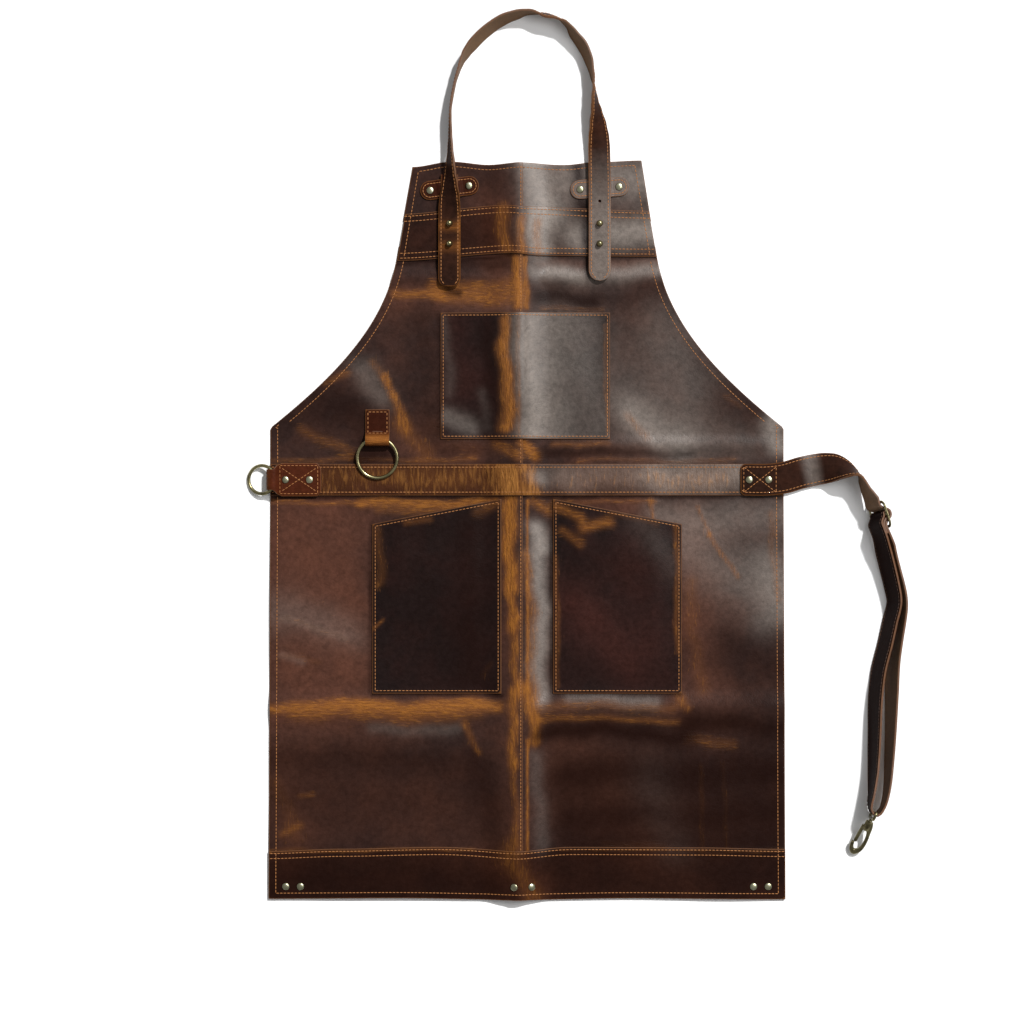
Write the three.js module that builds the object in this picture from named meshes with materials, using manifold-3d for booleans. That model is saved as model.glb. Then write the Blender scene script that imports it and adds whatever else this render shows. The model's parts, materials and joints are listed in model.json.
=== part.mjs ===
// Leather work apron with a bib, lying on its back on a flat surface.
// Millimetres, +Z up. The bib points to +Y, the adjustable waist strap lies on the +X side.
// While it is drawn, X = 0 is the apron's middle and Y = 0 the middle of its waist belt.

import * as THREE from 'three';
import { mergeVertices } from 'three/addons/utils/BufferGeometryUtils.js';
import Module from 'manifold-3d';

const wasm = await Module();
wasm.setup();

// Leather thicknesses and the clearance between pieces that touch
const LEATHER = 1.8;
const TAB_LEATHER = 1.6;
const HANGER_LEATHER = 1.4;
const STRAP_LEATHER = 2.2;
const GAP = 0.3;
const LAYER = LEATHER + GAP;

// Body of the apron, with heights from the middle of the waist belt
const SKIRT_HEIGHT = 486;
const HEM_HEIGHT = 60;
const SIDE_HEIGHT = 60;
const ARMHOLE_HEIGHT = 198;
const BIB_BAND_HEIGHT = 53;
const TOP_BAND_HEIGHT = 55;
const BELT_WIDTH = 36.5;
const HEM_WIDTH = 598;
const SKIRT_WIDTH = 594;
const CHEST_TOP_WIDTH = 301;
const BIB_TOP_WIDTH = 265;
const SEAM_X = -5;
const SEAM_LAP = 8;
const LAP_RAMP = 7;
const BAND_LAP = 12;

const CHEST_TOP = SIDE_HEIGHT + ARMHOLE_HEIGHT;
const BAND_TOP = CHEST_TOP + BIB_BAND_HEIGHT;
const BIB_TOP = BAND_TOP + TOP_BAND_HEIGHT;
const BEYOND = 30;

// Cross edges. Columns: place across the half width, rise as a share of the band's height
const BIB_TOP_EDGE = [
  [-1, -0.07], [-0.66, 0.04], [-0.32, -0.03], [-0.05, 0.01], [0.32, -0.03], [0.61, 0.03], [1, 0.065],
];
const BAND_TOP_EDGE = [[-1, -0.07], [-0.17, 0.12], [-0.03, 0.09], [1, 0]];
const BAND_BOTTOM_EDGE = [[-1, -0.09], [-0.13, 0.07], [0.1, 0.02], [1, 0]];
const HEM_TOP_EDGE = [
  [-1, -0.06], [-0.72, -0.015], [-0.34, 0.02], [-0.03, -0.05], [0.17, 0.02], [0.67, 0.01], [1, -0.02],
];

// Armhole curve's two handles: shares of its width outwards and of its height downwards
const ARMHOLE_HANDLES = [[0.08, 0.36], [0.42, 0.66]];

// Pockets
const SKIRT_POCKET_WIDTH = 149;
const SKIRT_POCKET_DEPTH = 225;
const SKIRT_POCKET_SLANT = 29;
const SKIRT_POCKET_INSET = 30;
const SKIRT_POCKET_DROP = 4;
const CHEST_POCKET_WIDTH = 196;
const CHEST_POCKET_HEIGHT = 146;
const CHEST_POCKET_RAISE = 29;
const CHEST_POCKET_X = -2;
const POCKET_EASE = 7;

// Folds pressed into the leather. They run up the apron or across it
const FOLD_RISE = 9;
const FOLD_HALF_WIDTH = 42;
// Columns: height above the belt as a share of BIB_TOP or SKIRT_HEIGHT, half width and rise as shares of the
// centre fold's, and how far they run across, as shares of half the skirt's width
const CROSS_FOLDS = [
  { at: 0.64, half: 0.34, rise: 0.32, from: -0.5, to: 0.5 },
  { at: 0.11, half: 0.33, rise: 0.3, from: -0.3, to: 0.85 },
  { at: -0.545, half: 0.62, rise: 0.5, from: -0.95, to: 0.95 },
];

// Neck strap
const NECK_WIDTH = 25.4;
const NECK_SPREAD = 173.7;
const NECK_RISE = 173.7;
const NECK_DROP = 142.4;
const NECK_X = -2.8;
const NECK_STUDS = [0.49, 0.655];
const NECK_HOLE = 0.31;
const NECK_END_CORNERS = [0.36, 0.49];
const STRAP_HOLE_RADIUS = 1.8;

// Keeper tabs under the neck strap, and the hidden hangers looped round them
const KEEPER_LENGTH = 68;
const KEEPER_WIDTH = 22;
const KEEPER_RIVETS = 45;
const KEEPER_DROP = 28.5;
const KEEPER_TURNS = { left: 7, right: 4 };
const HANGER_WIDTH = 20;
const KEEPER_ARCH = HANGER_LEATHER + GAP;
const HANGER_UPPER = LAYER + HANGER_LEATHER + GAP + TAB_LEATHER + GAP;
const STRAP_OVER_BIB = HANGER_UPPER + HANGER_LEATHER + GAP;

// Ball studs and rivets
const STUD_BALL_RADIUS = 3.3;
const STUD_NECK_RADIUS = 1.5;
const STUD_BASE_RADIUS = 5;
const STUD_BASE_HEIGHT = 1.2;
const STUD_WASHER_HEIGHT = 0.8;
const RIVET_RADIUS = 4.3;
const RIVET_HEIGHT = 1.8;
const RIVET_SHANK = 1.4;
const HEM_RIVET_HEIGHT = 15.5;
const HEM_RIVET_PITCH = 17;
const HEM_RIVET_INSET = 20;

// Tool ring and side ring in their folded tabs
const TOOL_RING_RADIUS = 23;
const SIDE_RING_RADIUS = 16.3;
const RING_WIRE_RADIUS = 2;
const RING_TAB_WIDTH = 28;
const RING_TAB_LENGTH = 36;
const RING_TAB_X = -173;
const RING_AXIS_RAISE = 27;
const SIDE_TAB_LENGTH = 56;
const SIDE_TAB_HEIGHT = 38.5;
const SIDE_NECK_WIDTH = 24;
const SIDE_AXIS_INSET = 3;
const SIDE_TAB_CORNER = 6;
const SIDE_RIVETS = [0.26, 0.76];
const FOLD_SHOULDER = 25;

// Waist strap, its slider and the snap hook's eye
const WAIST_WIDTH = 36.5;
const WAIST_REACH = 144.75;
const WAIST_HANG = 386;
const WAIST_TAB_LENGTH = 50;
const WAIST_TAB_RIVETS = [-0.8, -0.35];
const SLIDER_LENGTH = 33;
const SLIDER_WIRE = 3.6;
const SLIDER_DEPTH = 2.4;
const SLIDER_BAR = 3;
const SLIDER_CLEARANCE = 1;
const SLIDER_CORNER = 8;
const SLIDER_LEAN = 110;
const SLIDER_HEADING = -72;
const SLIDER_AT = [0.752, 0.107];
const EYE_WIRE_RADIUS = 1.8;
const EYE_BAR_AT = [0.714, 0.991];
const HOOK_HEADING = -116;
const HOOK_LENGTH = 46;
const HOOK_WIDTH = 17.5;
const HOOK_THICKNESS = 5;
const HOOK_BARREL_SHARE = 0.24;
const HOOK_SLOT_START = 0.1;
const HOOK_SLOT_SHARE = 0.4;
const GATE_WIDTH = 4;
const GATE_THICKNESS = 3;
const GATE_LENGTH_SHARE = 0.53;
const GATE_SWING_ROOM = 1.8;

const ON_BELT = 2 * LAYER;
const AT_EYE = 2 * EYE_WIRE_RADIUS + GAP;

const leatherColours = { panel: 0x4a2a1e, band: 0x40281f, dark: 0x241412, strap: 0x4d2c1c, tab: 0x5c3019 };
const leatherMaterial = colour =>
  new THREE.MeshStandardMaterial({ color: colour, roughness: 0.55, metalness: 0 });
const brassMaterial = new THREE.MeshStandardMaterial({ color: 0x8a8258, roughness: 0.35, metalness: 1 });
const darkBrassMaterial = new THREE.MeshStandardMaterial({ color: 0x4f4a38, roughness: 0.4, metalness: 1 });

const apron = new THREE.Group();

function addMesh(parent, name, geometry, material) {
  const mesh = new THREE.Mesh(geometry, material);
  mesh.name = name;
  parent.add(mesh);
  return mesh;
}

// A closed geometry as a solid that can be cut and joined, and back again
function solidOf(geometry) {
  const bare = geometry.clone();
  bare.deleteAttribute('normal');
  bare.deleteAttribute('uv');
  const merged = mergeVertices(bare, 1e-4);
  return new wasm.Manifold(new wasm.Mesh({
    numProp: 3,
    vertProperties: new Float32Array(merged.attributes.position.array),
    triVerts: new Uint32Array(merged.index.array),
  }));
}

function geometryOf(solid) {
  const mesh = solid.getMesh();
  const geometry = new THREE.BufferGeometry();
  geometry.setAttribute('position', new THREE.BufferAttribute(new Float32Array(mesh.vertProperties), 3));
  geometry.setIndex(new THREE.BufferAttribute(new Uint32Array(mesh.triVerts), 1));
  geometry.computeVertexNormals();
  return geometry;
}

function extruded(shape, depth, curveSegments = 10) {
  return new THREE.ExtrudeGeometry(shape, { depth, bevelEnabled: false, curveSegments });
}

// A tall prism with a plan outline, used to cut a sheet or a strip to its shape
function prism(shape) {
  return solidOf(extruded(shape, 2 * BEYOND).translate(0, 0, -BEYOND / 3));
}

function shank(x, y, radius) {
  const upright = new THREE.CylinderGeometry(radius, radius, 2 * BEYOND, 8).rotateX(Math.PI / 2);
  return solidOf(upright.translate(x, y, 0));
}

const polygon = points => new THREE.Shape(points.map(([x, y]) => new THREE.Vector2(x, y)));
const box = (x0, y0, x1, y1) => polygon([[x0, y0], [x1, y0], [x1, y1], [x0, y1]]);
const clamp01 = value => Math.min(1, Math.max(0, value));
const ramp = (value, from, to) => clamp01((value - from) / (to - from));
const radians = THREE.MathUtils.degToRad;

// The drape: how high the leather's underside lies over the floor. Every layer follows it on one grid, so
// layers are exact copies of each other and never meet.
const CREST_X = SEAM_X - SEAM_LAP;

function bump(distance, half) {
  return Math.abs(distance) < half ? Math.cos((Math.PI / 2) * (distance / half)) ** 2 : 0;
}

function crossFoldHeight(fold) {
  return fold.at > 0 ? fold.at * BIB_TOP : fold.at * SKIRT_HEIGHT;
}

function ground(x, y) {
  const centre = FOLD_RISE * bump(x - CREST_X, FOLD_HALF_WIDTH);
  const across = CROSS_FOLDS.map(fold => {
    const half = SKIRT_WIDTH / 2;
    const fade = FOLD_HALF_WIDTH;
    const [start, end] = [fold.from * half, fold.to * half];
    const reach = ramp(x, start - fade, start) * ramp(x, end + fade, end);
    return reach * fold.rise * FOLD_RISE * bump(y - crossFoldHeight(fold), fold.half * FOLD_HALF_WIDTH);
  });
  return Math.max(centre, ...across);
}

// Grid lines through the marks, with wide gaps filled in and near doubles left out
function gridLines(marks, step) {
  const sorted = [...marks].sort((a, b) => a - b);
  const kept = sorted.filter((mark, k) => k === 0 || mark - sorted[k - 1] > 0.6);
  return kept.flatMap((mark, k) => {
    if (k === kept.length - 1) return [mark];
    const width = kept[k + 1] - mark;
    const count = Math.ceil(width / step);
    return Array.from({ length: count }, (_, n) => mark + (n / count) * width);
  });
}

const SKIRT_POCKET_TOP = -BELT_WIDTH / 2 - SKIRT_POCKET_DROP;
const CHEST_POCKET_BOTTOM = BELT_WIDTH / 2 + CHEST_POCKET_RAISE;
const CHEST_POCKET_TOP = CHEST_POCKET_BOTTOM + CHEST_POCKET_HEIGHT;

const xLines = gridLines([
  -HEM_WIDTH / 2 - BEYOND, HEM_WIDTH / 2 + BEYOND,
  CREST_X - LAP_RAMP, CREST_X, SEAM_X, SEAM_X + LAP_RAMP,
  ...[-1, -0.67, -0.38, 0.62, 1].map(share => CREST_X + share * FOLD_HALF_WIDTH),
  ...[-1, 1].flatMap(side => [0, 0.25, 0.75, 1].map(share =>
    side * (SKIRT_POCKET_INSET + share * SKIRT_POCKET_WIDTH))),
  ...[-0.5, -0.3, 0.3, 0.5].map(share => CHEST_POCKET_X + share * CHEST_POCKET_WIDTH),
], 75);

const yLines = gridLines([
  -SKIRT_HEIGHT - BEYOND, BIB_TOP + BEYOND, 0,
  ...CROSS_FOLDS.flatMap(fold => [-1, -0.5, 0, 0.5, 1].map(share =>
    crossFoldHeight(fold) + share * fold.half * FOLD_HALF_WIDTH)),
  SKIRT_POCKET_TOP, SKIRT_POCKET_TOP - SKIRT_POCKET_DEPTH / 2, SKIRT_POCKET_TOP - SKIRT_POCKET_DEPTH,
  CHEST_POCKET_BOTTOM + CHEST_POCKET_HEIGHT / 2, CHEST_POCKET_TOP,
], 90);

// Lifts above the drape
const climb = x => LAYER * ramp(x, CREST_X - LAP_RAMP, CREST_X);
const overSeam = x => (x < CREST_X ? climb(x) : LAYER * ramp(x, SEAM_X + LAP_RAMP, SEAM_X));
const flatLift = () => 0;
const lappedLift = x => climb(x);
const bandLift = x => LAYER + overSeam(x);

// A slab of leather over the whole grid, to be cut to a piece's outline
function slab(lift, thickness) {
  const columns = xLines.length;
  const rows = yLines.length;
  const positions = [];
  for (const top of [0, thickness]) {
    for (const y of yLines) {
      for (const x of xLines) positions.push(x, y, ground(x, y) + lift(x, y) + top);
    }
  }
  const index = (i, j, top) => top * columns * rows + j * columns + i;
  const triangles = [];
  for (let j = 0; j < rows - 1; j++) {
    for (let i = 0; i < columns - 1; i++) {
      const [a, b, c, d] = [index(i, j, 1), index(i + 1, j, 1), index(i + 1, j + 1, 1), index(i, j + 1, 1)];
      triangles.push(a, b, c, a, c, d);
      const [e, f, g, h] = [index(i, j, 0), index(i + 1, j, 0), index(i + 1, j + 1, 0), index(i, j + 1, 0)];
      triangles.push(e, g, f, e, h, g);
    }
  }
  const wall = (a, b) => triangles.push(
    index(...a, 0), index(...b, 0), index(...b, 1), index(...a, 0), index(...b, 1), index(...a, 1));
  for (let i = 0; i < columns - 1; i++) {
    wall([i, 0], [i + 1, 0]);
    wall([i + 1, rows - 1], [i, rows - 1]);
  }
  for (let j = 0; j < rows - 1; j++) {
    wall([columns - 1, j], [columns - 1, j + 1]);
    wall([0, j + 1], [0, j]);
  }
  return new wasm.Manifold(new wasm.Mesh({
    numProp: 3, vertProperties: new Float32Array(positions), triVerts: new Uint32Array(triangles),
  }));
}

// Height of a grid surface at any place, read from its triangles
function heightAt(x, y, lift) {
  const cell = (lines, value) => Math.max(0, lines.findIndex(line => line > value) - 1);
  const [i, j] = [cell(xLines, x), cell(yLines, y)];
  const u = (x - xLines[i]) / (xLines[i + 1] - xLines[i]);
  const v = (y - yLines[j]) / (yLines[j + 1] - yLines[j]);
  const z = (a, b) => ground(xLines[i + a], yLines[j + b]) + lift(xLines[i + a], yLines[j + b]);
  return u > v
    ? z(0, 0) + u * (z(1, 0) - z(0, 0)) + v * (z(1, 1) - z(1, 0))
    : z(0, 0) + v * (z(0, 1) - z(0, 0)) + u * (z(1, 1) - z(0, 1));
}

// Outlines in plan
function crossEdge(rows, y, width, height) {
  return rows.map(([share, rise]) => {
    const beyond = Math.abs(share) === 1 ? 1.15 : 1;
    return [share * width / 2 * beyond, y + rise * height];
  });
}

function between(lower, upper) {
  return polygon([...lower, ...[...upper].reverse()]);
}

const bibTopEdge = crossEdge(BIB_TOP_EDGE, BIB_TOP, BIB_TOP_WIDTH, TOP_BAND_HEIGHT);
const bandTopEdge = crossEdge(BAND_TOP_EDGE, BAND_TOP, CHEST_TOP_WIDTH, BIB_BAND_HEIGHT);
const bandBottomEdge = crossEdge(BAND_BOTTOM_EDGE, CHEST_TOP, CHEST_TOP_WIDTH, BIB_BAND_HEIGHT);
const hemTopEdge = crossEdge(HEM_TOP_EDGE, HEM_HEIGHT - SKIRT_HEIGHT, HEM_WIDTH, HEM_HEIGHT);

function outlineShape() {
  const shape = new THREE.Shape();
  const [chest, skirt] = [CHEST_TOP_WIDTH / 2, SKIRT_WIDTH / 2];
  const handle = (side, [out, down]) => [
    side * (chest + out * (skirt - chest)), CHEST_TOP - down * ARMHOLE_HEIGHT,
  ];
  const [high, low] = ARMHOLE_HANDLES;
  const slope = (CHEST_TOP_WIDTH - BIB_TOP_WIDTH) / 2 / (BIB_TOP - CHEST_TOP);
  const topHalf = BIB_TOP_WIDTH / 2 - slope * BEYOND;
  shape.moveTo(-HEM_WIDTH / 2, -SKIRT_HEIGHT);
  shape.lineTo(HEM_WIDTH / 2, -SKIRT_HEIGHT);
  shape.lineTo(skirt, 0);
  shape.lineTo(skirt, SIDE_HEIGHT);
  shape.bezierCurveTo(...handle(1, low), ...handle(1, high), chest, CHEST_TOP);
  shape.lineTo(topHalf, BIB_TOP + BEYOND);
  shape.lineTo(-topHalf, BIB_TOP + BEYOND);
  shape.lineTo(-chest, CHEST_TOP);
  shape.bezierCurveTo(...handle(-1, high), ...handle(-1, low), -skirt, SIDE_HEIGHT);
  shape.lineTo(-skirt, 0);
  return shape;
}

const FAR = HEM_WIDTH;
const hemBottomEdge = [[-FAR, -SKIRT_HEIGHT], [FAR, -SKIRT_HEIGHT]];
const outline = prism(outlineShape()).intersect(prism(between(hemBottomEdge, bibTopEdge)));

// A leather piece: the slab at its lift, cut to its plan outline, with its holes
function leather(name, shape, lift, colour, holes = []) {
  let piece = slab(lift, LEATHER).intersect(prism(shape));
  for (const [x, y, radius] of holes) piece = piece.subtract(shank(x, y, radius));
  addMesh(apron, name, geometryOf(piece), leatherMaterial(colour));
}

function bodyPiece(name, shape, lift, colour, holes = []) {
  let piece = slab(lift, LEATHER).intersect(outline).intersect(prism(shape));
  for (const [x, y, radius] of holes) piece = piece.subtract(shank(x, y, radius));
  addMesh(apron, name, geometryOf(piece), leatherMaterial(colour));
}

// Places of the rivets and studs
const shankHole = ([x, y]) => [x, y, RIVET_SHANK + GAP];
const hemRivets = [
  -HEM_WIDTH / 2 + HEM_RIVET_INSET, -HEM_WIDTH / 2 + HEM_RIVET_INSET + HEM_RIVET_PITCH,
  CREST_X - RIVET_SHANK - 2 * GAP, CREST_X - RIVET_SHANK - 2 * GAP + HEM_RIVET_PITCH * 1.2,
  HEM_WIDTH / 2 - HEM_RIVET_INSET - HEM_RIVET_PITCH, HEM_WIDTH / 2 - HEM_RIVET_INSET,
].map(x => [x, HEM_RIVET_HEIGHT - SKIRT_HEIGHT]);

const sides = { left: -1, right: 1 };
const keeperX = side => NECK_X + sides[side] * NECK_SPREAD / 2;
const KEEPER_Y = BIB_TOP - KEEPER_DROP;

function keeperRivets(side) {
  const turn = radians(KEEPER_TURNS[side]);
  return [-1, 1].map(end => [
    keeperX(side) + end * Math.cos(turn) * KEEPER_RIVETS / 2,
    KEEPER_Y + end * Math.sin(turn) * KEEPER_RIVETS / 2,
  ]);
}

const SIDE_TAB_LEFT = -SKIRT_WIDTH / 2 + SIDE_AXIS_INSET;
const sideRivets = SIDE_RIVETS.map(share => [SIDE_TAB_LEFT + share * SIDE_TAB_LENGTH, 0]);
const waistRivets = WAIST_TAB_RIVETS.map(share => [SKIRT_WIDTH / 2 + share * WAIST_TAB_LENGTH, 0]);

// Panels, bands and belt
function addPanels() {
  const sidesOf = [
    ['left', -FAR, SEAM_X, lappedLift],
    ['right', CREST_X, FAR, flatLift],
  ];
  for (const [side, x0, x1, lift] of sidesOf) {
    const { panel, band } = leatherColours;
    bodyPiece(`skirt_${side}`, box(x0, -SKIRT_HEIGHT, x1, -GAP / 2), lift, panel, hemRivets.map(shankHole));
    bodyPiece(`chest_${side}`, box(x0, GAP / 2, x1, CHEST_TOP + BAND_LAP), lift, panel);
    bodyPiece(`top_band_${side}`, box(x0, BAND_TOP - BAND_LAP, x1, BIB_TOP + BEYOND), lift, band,
      keeperRivets(side).map(shankHole));
  }
}

function addBands() {
  const { band } = leatherColours;
  bodyPiece('bib_band', between(bandBottomEdge, bandTopEdge), bandLift, band);
  bodyPiece('hem_band', between(hemBottomEdge, hemTopEdge), bandLift, band, hemRivets.map(shankHole));
  bodyPiece('waist_belt', box(-FAR, -BELT_WIDTH / 2, FAR, BELT_WIDTH / 2), bandLift, band,
    [...sideRivets, ...waistRivets].map(shankHole));
}

// Pockets: sewn flat along three sides and eased off the panel towards the mouth
function pocketLift(x0, x1, bottom, top) {
  const border = (x1 - x0) / 4;
  return (x, y) => {
    const wide = ramp(x, x0, x0 + border) * ramp(x, x1, x1 - border);
    const deep = ramp(y, bottom, bottom + (top - bottom) / 2);
    return bandLift(x) + POCKET_EASE * wide * deep;
  };
}

function addPockets() {
  const low = SKIRT_POCKET_TOP - SKIRT_POCKET_DEPTH;
  for (const [side, sign] of Object.entries(sides)) {
    const inner = sign * SKIRT_POCKET_INSET;
    const outer = sign * (SKIRT_POCKET_INSET + SKIRT_POCKET_WIDTH);
    const shape = polygon([
      [inner, low], [outer, low], [outer, SKIRT_POCKET_TOP - SKIRT_POCKET_SLANT], [inner, SKIRT_POCKET_TOP],
    ]);
    const lift = pocketLift(Math.min(inner, outer), Math.max(inner, outer), low, SKIRT_POCKET_TOP);
    leather(`pocket_${side}`, shape, lift, leatherColours.dark);
  }
  const [x0, x1] = [CHEST_POCKET_X - CHEST_POCKET_WIDTH / 2, CHEST_POCKET_X + CHEST_POCKET_WIDTH / 2];
  leather('chest_pocket', box(x0, CHEST_POCKET_BOTTOM, x1, CHEST_POCKET_TOP),
    pocketLift(x0, x1, CHEST_POCKET_BOTTOM, CHEST_POCKET_TOP), leatherColours.dark);
}

// Rivets: a domed cap on the top leather and a shank through it, flush below
function addRivet(name, x, y, lift, thickness, depth) {
  const seats = Array.from({ length: 8 }, (_, k) => (k * Math.PI) / 4)
    .map(turn => heightAt(x + RIVET_RADIUS * Math.cos(turn), y + RIVET_RADIUS * Math.sin(turn), lift));
  const seat = Math.max(...seats, heightAt(x, y, lift)) + thickness + GAP;
  const foot = heightAt(x, y, lift) + thickness - depth;
  const profile = [
    [0, foot - seat], [RIVET_SHANK, foot - seat], [RIVET_SHANK, 0], [RIVET_RADIUS, 0],
    [RIVET_RADIUS, 0.35 * RIVET_HEIGHT], [0.82 * RIVET_RADIUS, 0.8 * RIVET_HEIGHT], [0, RIVET_HEIGHT],
  ].map(([radius, height]) => new THREE.Vector2(radius, height));
  const turned = new THREE.LatheGeometry(profile, 10).rotateX(Math.PI / 2);
  const rivet = addMesh(apron, name, turned, brassMaterial);
  rivet.position.set(x, y, seat);
}

function addRivets() {
  const addRow = (name, places, lift, thickness) => places.forEach(([x, y], k) =>
    addRivet(`${name}_${k + 1}`, x, y, lift, thickness, thickness + GAP + LEATHER / 2));
  addRow('hem_rivet', hemRivets, bandLift, LEATHER);
  for (const side of Object.keys(sides)) {
    addRow(`keeper_rivet_${side}`, keeperRivets(side), () => LAYER, TAB_LEATHER);
  }
  addRow('side_tab_rivet', sideRivets, () => ON_BELT, 2 * TAB_LEATHER);
  addRow('waist_strap_rivet', waistRivets, () => ON_BELT, STRAP_LEATHER);
}

// Keeper tabs: riveted at both ends and arched over the hanger in the middle
function addKeepers() {
  const skew = KEEPER_WIDTH / 2 * Math.sin(radians(Math.max(...Object.values(KEEPER_TURNS))));
  const arch = [HANGER_WIDTH / 2 + skew + 2 * GAP, HANGER_WIDTH / 2 + skew + 2 * GAP + 2 * KEEPER_ARCH];
  const end = KEEPER_LENGTH / 2;
  const underside = [
    [-end, 0], [-arch[1], 0], [-arch[0], KEEPER_ARCH], [arch[0], KEEPER_ARCH], [arch[1], 0], [end, 0],
  ];
  const topside = [...underside].reverse().map(([x, z]) => [x, z + TAB_LEATHER]);
  const plan = new THREE.Shape();
  const radius = KEEPER_WIDTH / 2;
  plan.absarc(end - radius, 0, radius, -Math.PI / 2, Math.PI / 2);
  plan.absarc(radius - end, 0, radius, Math.PI / 2, 1.5 * Math.PI);
  const bent = solidOf(extruded(polygon([...underside, ...topside]), KEEPER_WIDTH).rotateX(Math.PI / 2)
    .translate(0, KEEPER_WIDTH / 2, 0));
  let tab = bent.intersect(prism(plan));
  for (const x of [-KEEPER_RIVETS / 2, KEEPER_RIVETS / 2]) tab = tab.subtract(shank(x, 0, RIVET_SHANK + GAP));
  for (const side of Object.keys(sides)) {
    const mesh = addMesh(apron, `keeper_tab_${side}`, geometryOf(tab), leatherMaterial(leatherColours.tab));
    mesh.position.set(keeperX(side), KEEPER_Y, LAYER);
    mesh.rotation.z = radians(KEEPER_TURNS[side]);
  }
}

const studY = k => BIB_TOP - NECK_STUDS[k] * NECK_DROP;

// Hangers: a strip under the tab, folded back over it and down to the studs
function addHangers() {
  const reach = KEEPER_WIDTH / 2 + KEEPER_LENGTH / 2 * Math.sin(radians(KEEPER_TURNS.left));
  const top = KEEPER_Y + reach + GAP;
  const low = KEEPER_Y - reach;
  const tail = studY(1) - 2 * STUD_BASE_RADIUS;
  const profile = polygon([
    [low, LAYER], [top + HANGER_LEATHER, LAYER], [top + HANGER_LEATHER, HANGER_UPPER + HANGER_LEATHER],
    [tail, HANGER_UPPER + HANGER_LEATHER], [tail, HANGER_UPPER], [top, HANGER_UPPER],
    [top, LAYER + HANGER_LEATHER], [low, LAYER + HANGER_LEATHER],
  ]);
  const strip = solidOf(extruded(profile, HANGER_WIDTH).rotateX(Math.PI / 2).rotateZ(Math.PI / 2));
  for (const side of Object.keys(sides)) {
    const x = keeperX(side);
    let hanger = strip.translate([x - HANGER_WIDTH / 2, 0, 0]);
    for (const k of [0, 1]) hanger = hanger.subtract(shank(x, studY(k), STUD_NECK_RADIUS + GAP));
    addMesh(apron, `neck_hanger_${side}`, geometryOf(hanger), leatherMaterial(leatherColours.tab));
  }
}

// Studs: a flat foot under the hanger, a neck through the strap, a washer on it and the ball
function addStuds() {
  const base = HANGER_UPPER - GAP - STUD_BASE_HEIGHT;
  const collar = STRAP_OVER_BIB + STRAP_LEATHER + GAP - base;
  const ball = collar + STUD_WASHER_HEIGHT + STUD_BALL_RADIUS;
  const start = -Math.PI / 4;
  const dome = Array.from({ length: 4 }, (_, k) => start + k * (Math.PI / 2 - start) / 4)
    .map(turn => [STUD_BALL_RADIUS * Math.cos(turn), ball + STUD_BALL_RADIUS * Math.sin(turn)]);
  const profile = [
    [0, 0], [STUD_BASE_RADIUS, 0], [STUD_BASE_RADIUS, STUD_BASE_HEIGHT], [STUD_NECK_RADIUS, STUD_BASE_HEIGHT],
    [STUD_NECK_RADIUS, collar], [STUD_BALL_RADIUS, collar], [STUD_BALL_RADIUS, collar + STUD_WASHER_HEIGHT],
    [STUD_NECK_RADIUS, collar + STUD_WASHER_HEIGHT], ...dome, [0, ball + STUD_BALL_RADIUS],
  ].map(([radius, height]) => new THREE.Vector2(radius, height));
  const geometry = new THREE.LatheGeometry(profile, 8).rotateX(Math.PI / 2);
  for (const side of Object.keys(sides)) {
    for (const k of [0, 1]) {
      const stud = addMesh(apron, `neck_stud_${side}_${k + 1}`, geometry.clone(), brassMaterial);
      stud.position.set(keeperX(side), studY(k), base);
    }
  }
}

// A strip of leather through stations. Each station has the strip's lower edge, the unit vector across the
// strip, and how far its two corners are cut in there.
function ribbon(stations, width, thickness) {
  const middle = station => station.edge.clone().addScaledVector(station.across, width / 2);
  const corners = stations.flatMap((station, k) => {
    const before = middle(stations[Math.max(k - 1, 0)]);
    const after = middle(stations[Math.min(k + 1, stations.length - 1)]);
    const normal = after.sub(before).cross(station.across).normalize();
    const low = station.edge.clone().addScaledVector(station.across, station.inset ?? 0);
    const high = station.edge.clone().addScaledVector(station.across, width - (station.inset ?? 0));
    return [[low, -1], [high, -1], [high, 1], [low, 1]]
      .map(([point, side]) => point.clone().addScaledVector(normal, side * thickness / 2));
  });
  const triangles = [0, 3, 2, 0, 2, 1];
  for (let k = 0; k < stations.length - 1; k++) {
    for (let n = 0; n < 4; n++) {
      const [a, b] = [4 * k + n, 4 * k + ((n + 1) % 4)];
      triangles.push(a, b, b + 4, a, b + 4, a + 4);
    }
  }
  const end = 4 * (stations.length - 1);
  triangles.push(end, end + 1, end + 2, end, end + 2, end + 3);
  return new wasm.Manifold(new wasm.Mesh({
    numProp: 3,
    vertProperties: new Float32Array(corners.flatMap(corner => corner.toArray())),
    triVerts: new Uint32Array(triangles),
  }));
}

// Stations along a strip whose middle line is drawn in plan. Rows: x, y, lean in degrees, lift.
// A strip at lean 0 lies flat, at 90 it stands on its left edge, seen along the strip.
function stationsOf(rows, width, thickness, steps) {
  const places = rows.map(([x, y]) => new THREE.Vector3(x, y, 0));
  const curve = new THREE.CatmullRomCurve3(places, false, 'centripetal');
  const count = (rows.length - 1) * steps;
  return Array.from({ length: count + 1 }, (_, k) => {
    const t = k / count;
    const row = Math.min(Math.floor(k / steps), rows.length - 2);
    const share = k / steps - row;
    const [lean, lift] = [2, 3].map(column =>
      THREE.MathUtils.lerp(rows[row][column], rows[row + 1][column], share));
    const along = curve.getTangent(t);
    const side = new THREE.Vector3(along.y, -along.x, 0).normalize();
    const [flat, tall] = [Math.cos(radians(lean)), Math.sin(radians(lean))];
    const across = side.clone().multiplyScalar(flat).setZ(tall);
    const edge = curve.getPoint(t).addScaledVector(side, -flat * width / 2);
    edge.z = lift + Math.abs(flat) * thickness / 2;
    return { edge, across };
  });
}

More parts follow.
